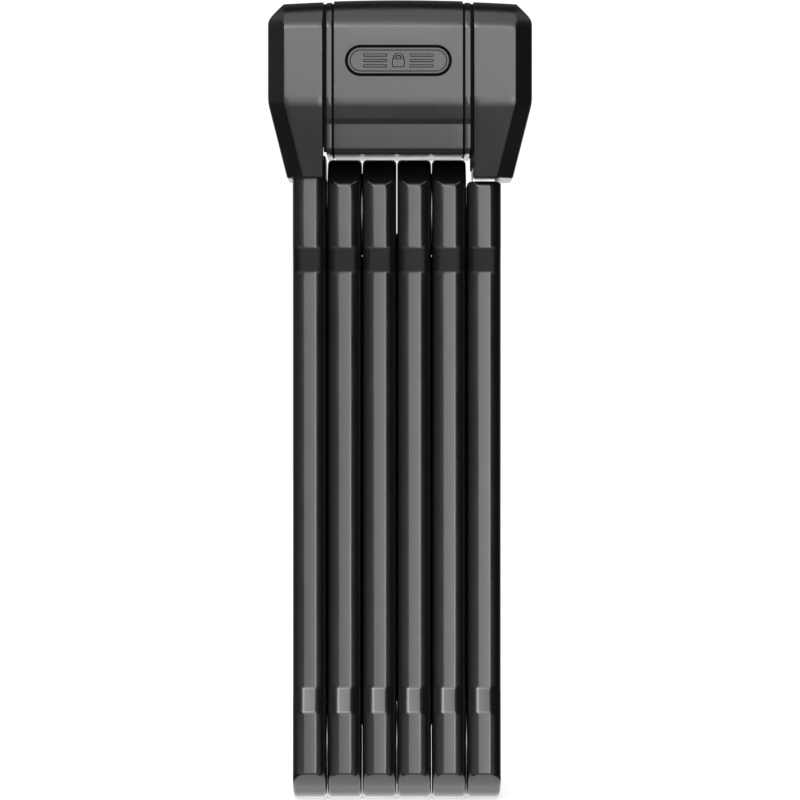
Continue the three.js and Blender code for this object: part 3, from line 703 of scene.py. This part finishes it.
def stations(low, high, count, edge=0.16):
    """Places along X with how far the outline is drawn in there, so that both ends are rounded."""
    ends = [(0.0, edge), (edge * 0.3, edge * 0.3), (edge, 0.0)]
    middle = [(low + edge + (high - low - 2 * edge) * k / count, 0.0) for k in range(1, count)]
    start = [(low + along, inset) for along, inset in ends]
    finish = [(high - along, inset) for along, inset in reversed(ends)]
    return start + middle + finish


def cover_half(face, name, node):
    """Half of the cover round the centre: face is -1 for the front and 1 for the rear."""
    low, high = COVER
    rings = []
    for x, inset in stations(low.x, high.x, 12):
        outer = [crest(x, -face * y, z) for y, z in centre_half(inset, 0.0, SEAM / 2)]
        inner = [crest(x, -face * y, z) for y, z in centre_half(COVER_WALL, 0.0, SEAM / 2)]
        rings.append(outer + inner[::-1])
    cover = loft(name, rings)
    carve(cover, bezel_hole())
    if face < 0:
        carve(cover, label_seat())
    return finish_piece(cover, "head", "head_plastic", head_plastic, node)


def closed_ring(x, inset, top_drop=0.0):
    """The whole outline of the centre at one place along X."""
    half = [crest(x, y, z) for y, z in centre_half(inset, top_drop)]
    return half + [(px, -y, z) for px, y, z in reversed(half)]


def centre_frame():
    """The frame under the cover, which shows as a thin strip at each end of it."""
    low, high = FRAME_BOX
    seat = (COVER[0].x - SEAM, COVER[1].x + SEAM)
    rings = [closed_ring(x, inset, FRAME_TOP_DROP) for x, inset in stations(low.x, seat[0], 2)]
    rings += [closed_ring(x, COVER_WALL + SEAM) for x in seat]
    rings += [closed_ring(x, inset, FRAME_TOP_DROP) for x, inset in stations(seat[1], high.x, 2)]
    body = loft("visual_center_frame", rings)
    hollow = loft("hollow", [closed_ring(x, FRAME_WALL) for x in (low.x - OVER, high.x + OVER)])
    carve(body, hollow, bezel_hole())
    return finish_piece(body, "head", "trim_plastic", trim_plastic, "center_frame")


def head_shade_rings():
    """Near-black matt rings, a little below the surface, that fill the gaps beside the frame's two strips: painted
    shade, standing in for the dark of those gaps.
    """
    frame_low, frame_high = FRAME_BOX[0].x, FRAME_BOX[1].x
    spans = [
        (CHEEK_PLANES[0] + SHADE_RING_GAP, frame_low),
        (COVER[0].x - SEAM, COVER[0].x),
        (COVER[1].x, COVER[1].x + SEAM),
        (frame_high, CHEEK_PLANES[1] - SHADE_RING_GAP),
    ]
    # Each ring is near-black matt filler, painted shade for one gap.
    rings = [loft("gasket", [closed_ring(x, SHADE_RING_INSET) for x in span]) for span in spans]
    body = rings[0]
    join(body, *rings[1:])
    body.name = "visual_head_shade_rings"
    hollow_ends = (frame_low - 2 * OVER, frame_high + 2 * OVER)
    hollow = loft("hollow", [closed_ring(x, FRAME_WALL) for x in hollow_ends])
    path = bar_path(CHEEK_PLANES[0] - OVER, frame_low + SHADE_RING_GAP)
    carve(body, hollow, bezel_hole(), path)
    return finish_piece(body, "head", "rubber", shade_ring_material)


def bezel_hole():
    """The rectangular hole in the top that the keyhole's bezel sits in."""
    low, high = BEZEL
    under = 1.5
    return block(
        "bezel hole",
        [low.x - BEZEL_GAP, high.x + BEZEL_GAP],
        [low.y - BEZEL_GAP, high.y + BEZEL_GAP],
        [low.z - under, HEAD_TOP + 5 * OVER],
    )


# ---------------------------------------------------------------- label

LABEL_CENTRE = (LABEL[0] + LABEL[1]) / 2
LABEL_LENGTH = LABEL[1].x - LABEL[0].x
LABEL_HEIGHT = LABEL[1].z - LABEL[0].z
RELIEF_DEPTHS = [-HEAD_HALF_DEPTH - RELIEF, -HEAD_HALF_DEPTH + RELIEF_ROOT]


def pill_ring(length, height, inset, y):
    """A ring of points round a pill shape that is drawn in by an inset."""
    radius = height / 2 - inset
    reach = (length - height) / 2
    steps = 20
    half = []
    for k in range(steps + 1):
        angle = -math.pi / 2 + math.pi * k / steps
        x = LABEL_CENTRE.x + reach + radius * math.cos(angle)
        half.append((x, y, LABEL_CENTRE.z + radius * math.sin(angle)))
    return half + [(2 * LABEL_CENTRE.x - x, py, z) for x, py, z in reversed(half)]


def label_rings(profile):
    """Rings round the label's outline from (how far drawn in, how far behind the face)."""
    return [pill_ring(LABEL_LENGTH, LABEL_HEIGHT, inset, deep - HEAD_HALF_DEPTH) for inset, deep in profile]


def label_seat():
    """The recess in the cover, with a small chamfer round its mouth."""
    outer = LABEL_GROOVE[0]
    return loft("label seat", label_rings([
        (outer - 1.0, -1.0), (outer - 0.1, -0.1), (outer + 0.1, 0.1), (outer + 0.1, 1.3)]))


def label_shade_ring():
    """A near-black matt ring at the bottom of the groove round the plate: painted shade for the dark groove."""
    outer, inner = LABEL_GROOVE[0] + 0.14, LABEL_GROOVE[1] - 0.04
    front, back = SHADE_RING_INSET, 1.25
    profile = [(outer, front), (outer, back), (inner, back), (inner, front), (outer, front)]
    gasket = loft("visual_label_shade_ring", label_rings(profile), cap=False)
    return finish_piece(gasket, "head", "rubber", shade_ring_material)


def padlock():
    """A small padlock sign: a square body and a shackle, both with wide bevels."""
    x, z = LABEL_CENTRE.x, LABEL_CENTRE.z
    across = [x - PADLOCK_HALF_WIDTH, x + PADLOCK_HALF_WIDTH]
    body = block("body", across, RELIEF_DEPTHS, [z + up for up in PADLOCK_HEIGHTS], RELIEF, 1)
    inner, crown_inner, crown_outer, outer = SHACKLE_RADII
    arch = [
        (inner, -RELIEF_ROOT), (outer, -RELIEF_ROOT), (outer, 0.0),
        (crown_outer, RELIEF), (crown_inner, RELIEF), (inner, 0.0),
    ]
    shackle = turned("shackle", arch, (0, 0, 0), "Z", 48)
    place = Matrix.Translation(Vector((x, -HEAD_HALF_DEPTH, z + SHACKLE_HEIGHT)) * MM)
    shackle.data.transform(place @ Matrix.Rotation(math.pi / 2, 4, "X"))
    return body, shackle


def label_ribs():
    """Three level ribs at each side of the padlock."""
    ribs = []
    for side in (-1, 1):
        middle = LABEL_CENTRE.x + side * RIB_PLACE
        x = [middle - RIB_LENGTH / 2, middle + RIB_LENGTH / 2]
        for row in (-1, 0, 1):
            height = LABEL_CENTRE.z + row * RIB_PITCH
            z = [height - RIB_WIDTH / 2, height + RIB_WIDTH / 2]
            ribs.append(block("rib", x, RELIEF_DEPTHS, z, RELIEF, 1))
    return ribs


def label_plate():
    """A pill-shaped plate with a fine line inside its edge and a raised padlock between two sets of ribs."""
    edge = LABEL_GROOVE[1]
    chamfer = 0.14
    line = edge + 0.55
    half_line = 0.12
    plate = loft("visual_label_plate", label_rings([
        (edge, LABEL[1].y + HEAD_HALF_DEPTH), (edge, chamfer), (edge + 0.05, 0.05), (edge + chamfer, 0.0),
        (line, 0.0), (line + half_line, chamfer), (line + 2 * half_line, 0.0),
    ]))
    join(plate, *padlock(), *label_ribs())
    return finish_piece(plate, "head", "label_plastic", label_plastic, "label_plate")


# ---------------------------------------------------------------- keyhole on the top

def keyhole_bezel():
    """A plate with a recess in which the keyhole's cover slides between two grooves."""
    low, high = BEZEL
    slide_low, slide_high = SLIDE
    bezel = block("visual_keyhole_bezel", [low.x, high.x], [low.y, high.y], [low.z, high.z], 0.5, 4)
    x = [slide_low.x - SLIDE_GAP, slide_high.x + SLIDE_TRAVEL + SLIDE_GAP]
    rail_reach = slide_high.y + SLIDE_GAP
    mouth_reach = rail_reach - LIP
    lead_reach = mouth_reach + LEAD_IN
    floor = slide_low.z - SLIDE_GAP / 2
    above = high.z + 2 * OVER
    rail = block("rail", x, [-rail_reach, rail_reach], [floor, floor + RAIL_HEIGHT])
    mouth = block("mouth", x, [-mouth_reach, mouth_reach], [floor, above], 0.35, 3)
    lead_x = [x[0] - LEAD_IN, x[1] + LEAD_IN]
    lead = block("lead", lead_x, [-lead_reach, lead_reach], [high.z - LEAD_IN, above], 0.3, 2)
    carve(bezel, rail, mouth, lead, keyway_well((slide_low.x + slide_high.x) / 2, floor))
    return finish_piece(bezel, "head", "trim_plastic", trim_plastic, "keyhole_bezel")


def keyway_well(centre_x, floor):
    """The round hole over the cylinder, with a chamfer round its mouth."""
    radius, deep, chamfer = 5.0, 6.0, 0.3
    wide = radius + 2 * chamfer
    profile = [(0, -deep), (radius, -deep), (radius, -chamfer), (wide, chamfer), (0, chamfer)]
    return turned("well", profile, (centre_x, 0, floor), "Z", 72)


def keyhole_cover():
    """The sliding cover, with a row of ribs for the thumb."""
    low, high = SLIDE
    foot_z = [low.z, low.z + 0.65]
    foot = block("visual_keyhole_cover", [low.x, high.x], [low.y, high.y], foot_z, 0.12, 2)
    cap_z = [low.z + 0.1, high.z - 0.4]
    cap = block("cap", [low.x, high.x], [low.y + LIP, high.y - LIP], cap_z, 0.25, 3)
    centre = (low.x + high.x) / 2
    ribs = []
    for k in range(-2, 3):
        x = centre + k * THUMB_RIB_PITCH
        across = [x - THUMB_RIB_HALF_WIDTH, x + THUMB_RIB_HALF_WIDTH]
        ribs.append(block("rib", across, [low.y + 2 * LIP, high.y - 2 * LIP], [high.z - 0.9, high.z], 0.3, 3))
    join(foot, cap, *ribs)
    return finish_piece(foot, "keyhole_slide", "trim_plastic", trim_plastic, "keyhole_cover")


# ---------------------------------------------------------------- materials

GRAIN_DEPTH = 0.01 * MM


def node_material(name, base, roughness, metallic=0.0):
    """A Principled material, with its node tree and its shader."""
    material = bpy.data.materials.new(name)
    material.use_nodes = True
    shader = material.node_tree.nodes["Principled BSDF"]
    shader.inputs["Base Color"].default_value = (*base, 1)
    shader.inputs["Roughness"].default_value = roughness
    shader.inputs["Metallic"].default_value = metallic
    return material, material.node_tree, shader


def noise(tree, scale, detail, stretch=(1, 1, 1)):
    """Noise in the object's own space; scale counts features in a metre."""
    place = tree.nodes.new("ShaderNodeTexCoord")
    mapping = tree.nodes.new("ShaderNodeMapping")
    mapping.inputs["Scale"].default_value = stretch
    texture = tree.nodes.new("ShaderNodeTexNoise")
    texture.inputs["Scale"].default_value = scale
    texture.inputs["Detail"].default_value = detail
    tree.links.new(place.outputs["Object"], mapping.inputs["Vector"])
    tree.links.new(mapping.outputs["Vector"], texture.inputs["Vector"])
    return texture.outputs["Fac"]


def spread(tree, source, low, high):
    """Maps the middle of a noise to a range."""
    ramp = tree.nodes.new("ShaderNodeMapRange")
    ramp.inputs["From Min"].default_value = 0.3
    ramp.inputs["From Max"].default_value = 0.7
    ramp.inputs["To Min"].default_value = low
    ramp.inputs["To Max"].default_value = high
    tree.links.new(source, ramp.inputs["Value"])
    return ramp.outputs["Result"]


def bump(tree, shader, layers):
    """Stacks bumps: each layer is (height source, depth in metres, strength)."""
    normal = None
    for source, depth, strength in layers:
        node = tree.nodes.new("ShaderNodeBump")
        node.inputs["Strength"].default_value = strength
        node.inputs["Distance"].default_value = depth
        tree.links.new(source, node.inputs["Height"])
        if normal:
            tree.links.new(normal, node.inputs["Normal"])
        normal = node.outputs["Normal"]
    tree.links.new(normal, shader.inputs["Normal"])


def tinted(tree, shader, source, dark, light):
    """Varies the base colour between two colours by a noise."""
    tint = tree.nodes.new("ShaderNodeMix")
    tint.data_type = "RGBA"
    tint.inputs["A"].default_value = (*dark, 1)
    tint.inputs["B"].default_value = (*light, 1)
    tree.links.new(source, tint.inputs["Factor"])
    tree.links.new(tint.outputs["Result"], shader.inputs["Base Color"])


def moulded_plastic(name, grey, roughness, grain):
    """Black plastic from an etched mould: a fine even grain, and slow changes in gloss from handling."""
    material, tree, shader = node_material(name, (grey, grey, grey * 1.04), roughness)
    shader.inputs["Specular IOR Level"].default_value = 0.5
    handled = noise(tree, 90, 3)
    etched = noise(tree, 2600, 2)
    speckle = noise(tree, 6500, 1)
    tree.links.new(spread(tree, handled, roughness - 0.03, roughness + 0.03), shader.inputs["Roughness"])
    bump(tree, shader, [(etched, 2 * GRAIN_DEPTH, grain), (speckle, GRAIN_DEPTH, grain)])
    dark = (grey * 0.85, grey * 0.85, grey * 0.88)
    light = (grey * 1.2, grey * 1.2, grey * 1.25)
    tinted(tree, shader, speckle, dark, light)
    return material


def machined_metal(name, base, roughness, stretch, marks):
    """Metal with fine tool marks along one direction and a little stain."""
    material, tree, shader = node_material(name, base, roughness, 1.0)
    scratches = noise(tree, 3000, 3, stretch)
    stain = noise(tree, 160, 4)
    tree.links.new(spread(tree, stain, roughness - 0.05, roughness + 0.08), shader.inputs["Roughness"])
    bump(tree, shader, [(scratches, 2 * GRAIN_DEPTH, marks)])
    tinted(tree, shader, stain, [c * 0.85 for c in base], [min(c * 1.1, 1) for c in base])
    return material


jacket_plastic = moulded_plastic("jacket plastic", 0.0025, 0.2, 0.1)
head_plastic = moulded_plastic("head plastic", 0.003, 0.27, 0.1)
trim_plastic = moulded_plastic("trim plastic", 0.003, 0.25, 0.08)
label_plastic = moulded_plastic("label plastic", 0.003, 0.25, 0.05)
rubber = moulded_plastic("rubber", 0.01, 0.7, 0.2)
hardened_steel = machined_metal("hardened steel", (0.5, 0.51, 0.53), 0.3, (1, 1, 0.05), 0.15)
rivet_steel = machined_metal("rivet steel", (0.62, 0.63, 0.65), 0.24, (0.05, 1, 1), 0.1)
# The washers' steel is partly burnished and partly painted shade: it is made much darker than the rivets' to stand
# in for the shade between the jackets, where the washers show.
burnished_steel_and_painted_shade = machined_metal("burnished and painted shade steel", (0.2, 0.2, 0.21), 0.4, (0.05, 1, 1), 0.1)
brass = machined_metal("brass", (0.72, 0.52, 0.24), 0.28, (1, 1, 0.05), 0.12)


def phosphate_and_painted_shade_steel():
    """Steel with a matt black phosphate coat, made near-black as painted shade, so that the gaps in the head that
    show it look as dark as shade.
    """
    material, tree, shader = node_material("phosphate and painted shade steel", (0.012, 0.012, 0.013), 0.8)
    shader.inputs["Specular IOR Level"].default_value = 0.1
    crystals = noise(tree, 5000, 3)
    bump(tree, shader, [(crystals, 2 * GRAIN_DEPTH, 0.3)])
    return material


def painted_shade_rubber():
    """Near-black matt rubber that hardly shines: painted shade for the rings in the head's gaps and the label's
    groove.
    """
    material, tree, shader = node_material("painted shade rubber", (0.004, 0.004, 0.004), 0.9)
    shader.inputs["Specular IOR Level"].default_value = 0.05
    bump(tree, shader, [(noise(tree, 3000, 2), 2 * GRAIN_DEPTH, 0.3)])
    return material


SLOT_MATERIALS = {
    "hardened_steel": hardened_steel,
    "rivet_steel": rivet_steel,
    "brass": brass,
    "rubber": rubber,
}
# The lock body's near-black colour is partly its coat and partly painted shade for the head's gaps.
NODE_MATERIALS = {"lock_body": phosphate_and_painted_shade_steel()}
# Painted shade: the material of the rings that darken the head's gaps and the label's groove.
shade_ring_material = painted_shade_rubber()


# ---------------------------------------------------------------- pieces on the frame

CAD_EDGE_BEVEL = 0.15


def finish_piece(obj, body, slot, material, *nodes):
    """Shades a piece, gives it its material, and lets it stand for its CAD nodes on their body."""
    obj.data.materials.clear()
    obj.data.materials.append(material)
    smooth(obj)
    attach(obj, body)
    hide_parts(*nodes)
    return obj


def dress_cad_node(name, obj, slot):
    """A CAD node that stays: its flat faces are joined up, its edges broken, and it gets its material."""
    planar = obj.modifiers.new("flat faces", "DECIMATE")
    planar.decimate_type = "DISSOLVE"
    planar.angle_limit = math.radians(1)
    edges = obj.modifiers.new("broken edges", "BEVEL")
    edges.width = CAD_EDGE_BEVEL * MM
    edges.segments = 2
    edges.limit_method = "ANGLE"
    edges.angle_limit = math.radians(40)
    obj.data.shade_smooth()
    obj.data.set_sharp_from_angle(angle=math.radians(32))
    obj.data.materials.clear()
    obj.data.materials.append(NODE_MATERIALS.get(name, SLOT_MATERIALS[slot]))


def make_pieces():
    """Every visible piece, and materials for the CAD nodes that nothing stands for."""
    for i in range(BAR_COUNT):
        bar_jacket(i)
    for i in range(BAR_COUNT - 1):
        bar_rivet(i)
        spacer_washer(i)
    left_cheek()
    right_cheek()
    cover_half(-1, "visual_front_cover", "front_cover")
    cover_half(1, "visual_rear_cover", "rear_cover")
    centre_frame()
    head_shade_rings()
    label_plate()
    label_shade_ring()
    keyhole_bezel()
    keyhole_cover()
    for part in frame["record"]["subparts"]:
        node = frame["nodes"][part["node"]]
        if not node.hide_render:
            dress_cad_node(part["node"], node, part["material_slot"])


# ---------------------------------------------------------------- studio

BACKDROP = 1.05                     # just past white
UNLIT = 0.03                        # the light from where there is no patch
GROWTH = (0.2, 2.6)
FLOOR_HALF_SIZE = 4000.0
FLOOR_GLOW = 0.55
CARD_HALF_WIDTH = 36.0
CARD_HEIGHT = -0.5
CARDS = (((-21.0, -7.0), 2.9), ((-7.0, 21.0), 2.0))     # where on Y, and how bright
CAMERA_DISTANCE = 1057.0
CAMERA_HEIGHT = 101.15
CAMERA_LENS = 186.9


class World:
    """The studio as seen from the object: dark, with soft patches of light all round. Azimuth 0 is the
    front, and azimuth 90 the right; elevation 90 is straight up."""

    def __init__(self):
        world = bpy.data.worlds.new("studio")
        world.use_nodes = True
        bpy.context.scene.world = world
        self.tree = world.node_tree
        self.background = self.tree.nodes["Background"]
        self.background.inputs["Color"].default_value = (1, 1, 1, 1)
        place = self.tree.nodes.new("ShaderNodeTexCoord")
        axes = self.tree.nodes.new("ShaderNodeSeparateXYZ")
        self.tree.links.new(place.outputs["Generated"], axes.inputs["Vector"])
        x, y, z = (axes.outputs[name] for name in "XYZ")
        towards_front = self.math("MULTIPLY", y, -1)
        self.azimuth = self.math("DEGREES", self.math("ARCTAN2", x, towards_front))
        self.elevation = self.math("DEGREES", self.math("ARCSINE", z))
        self.light = UNLIT

    def math(self, operation, *values):
        """A math node on numbers and on other nodes' outputs."""
        node = self.tree.nodes.new("ShaderNodeMath")
        node.operation = operation
        for slot, value in zip(node.inputs, values):
            if isinstance(value, (int, float)):
                slot.default_value = value
            else:
                self.tree.links.new(value, slot)
        return node.outputs["Value"]

    def step(self, source, edge, soft):
        """Rises smoothly from 0 to 1 about an edge."""
        node = self.tree.nodes.new("ShaderNodeMapRange")
        node.interpolation_type = "SMOOTHSTEP"
        node.inputs["From Min"].default_value = edge - soft
        node.inputs["From Max"].default_value = edge + soft
        self.tree.links.new(source, node.inputs["Value"])
        return node.outputs["Result"]

    def band(self, source, low, high, soft):
        """1 between two edges and 0 outside them."""
        rising = self.step(source, low, soft)
        falling = self.step(source, high, soft)
        return self.math("SUBTRACT", rising, falling)

    def patch(self, azimuth, elevation, strength, soft=(4, 4), slope=0.0):
        """A soft patch between two azimuths and two elevations, in degrees. Its strength grows by a share
        for each degree to the right, or falls where the slope is negative, within GROWTH."""
        across = self.band(self.azimuth, *azimuth, soft[0])
        growth = self.math("ADD", self.math("MULTIPLY", self.azimuth, slope), 1.0)
        growth = self.math("MINIMUM", self.math("MAXIMUM", growth, GROWTH[0]), GROWTH[1])
        across = self.math("MULTIPLY", across, growth)
        up = self.band(self.elevation, *elevation, soft[1])
        amount = self.math("MULTIPLY", self.math("MULTIPLY", across, up), strength)
        self.light = self.math("ADD", self.light, amount)

    def finish(self):
        """The camera sees plain white behind the object; everything else is lit by the patches."""
        ray = self.tree.nodes.new("ShaderNodeLightPath")
        backdrop = self.math("MULTIPLY", ray.outputs["Is Camera Ray"], BACKDROP)
        unseen = self.math("SUBTRACT", 1.0, ray.outputs["Is Camera Ray"])
        strength = self.math("ADD", backdrop, self.math("MULTIPLY", self.light, unseen))
        self.tree.links.new(strength, self.background.inputs["Strength"])


def light_studio():
    """The patches, in groups by what reflects them to the camera in front."""
    world = World()
    # Upright faces: the bars' strips, which are below the camera, and the head's flats above it.
    world.patch((-19, 18), (-12, 2), 4.3, (3, 3), 0.17)
    world.patch((-19, 18), (2, 12), 4.1, (3, 3), 0.03)
    # Faces that look up a little: the bars' lower ramps and the head's crest, then its rolled top.
    world.patch((-22, 20), (12, 17), 14.0, (4, 2), -0.1)
    world.patch((-22, 20), (17, 34), 3.8, (4, 3), -0.12)
    world.patch((-60, 60), (34, 90), 2.0, (15, 5))
    # Faces that look down a little: the head's slopes and the bars' upper ramps. The second patch is for
    # upright faces seen from high above.
    world.patch((-40, 40), (-42, -13), 0.58, (10, 4))
    world.patch((-60, 60), (-90, -52), 0.4, (20, 6))
    # The bars' shoulders: their lower parts on both sides, then the left ones all the way up.
    world.patch((-60, -16), (-15, -5), 0.75, (8, 2))
    world.patch((18, 46), (-15, -5), 1.0, (6, 2))
    world.patch((-70, -19), (-13, 25), 0.9, (10, 4), 0.0135)
    # The head's left chamfer.
    world.patch((-120, -60), (-10, 25), 0.2, (15, 8))
    # The back and the two sides, which the other views show.
    for side in ((-200, -120), (120, 200)):
        world.patch(side, (-30, 5), 1.4, (12, 10))
        world.patch(side, (-90, -40), 0.4, (12, 10))
        world.patch(side, (10, 60), 0.12, (12, 10))
    for side in ((-120, -60), (60, 120)):
        world.patch(side, (-80, -45), 0.6, (15, 8))
        world.patch(side, (28, 70), 0.8, (15, 6))
    world.finish()


def level_sheet(name, x, y, z, material_name, base, strength):
    """A level rectangle that glows white and reflects nothing sharply."""
    points = [(x[0], y[0], z), (x[1], y[0], z), (x[1], y[1], z), (x[0], y[1], z)]
    sheet = new_object(name, points, [(0, 1, 2, 3)])
    material, _, shader = node_material(material_name, (base, base, base), 0.9)
    shader.inputs["Specular IOR Level"].default_value = 0.0
    shader.inputs["Emission Color"].default_value = (1, 1, 1, 1)
    shader.inputs["Emission Strength"].default_value = strength
    sheet.data.materials.append(material)
    return sheet


def make_floor():
    """A pale floor that stays out of the reflections, which the patches and cards make."""
    span = (-FLOOR_HALF_SIZE, FLOOR_HALF_SIZE)
    floor = level_sheet("floor", span, span, 0.0, "floor", 0.8, FLOOR_GLOW)
    floor.visible_glossy = False


def make_cards():
    """Two bright cards under the bars that show only in their reflections."""
    span = (-CARD_HALF_WIDTH, CARD_HALF_WIDTH)
    for k, (y, strength) in enumerate(CARDS):
        card = level_sheet(f"card_{k + 1}", span, y, CARD_HEIGHT, f"card {k + 1}", 0.0, strength)
        card.visible_camera = False
        card.visible_diffuse = False
        card.visible_shadow = False


def place_camera():
    """Level, straight in front, a metre away, at half of the lock's height."""
    camera = bpy.data.objects.new("camera", bpy.data.cameras.new("camera"))
    bpy.context.scene.collection.objects.link(camera)
    camera.data.sensor_width = 36
    camera.data.lens = CAMERA_LENS
    camera.data.clip_end = 50
    camera.location = Vector((0, -CAMERA_DISTANCE, CAMERA_HEIGHT)) * MM
    camera.rotation_euler = (math.pi / 2, 0, 0)
    bpy.context.scene.camera = camera


place_camera()
light_studio()
make_floor()
make_cards()
make_pieces()
bpy.context.scene.view_settings.view_transform = "Standard"
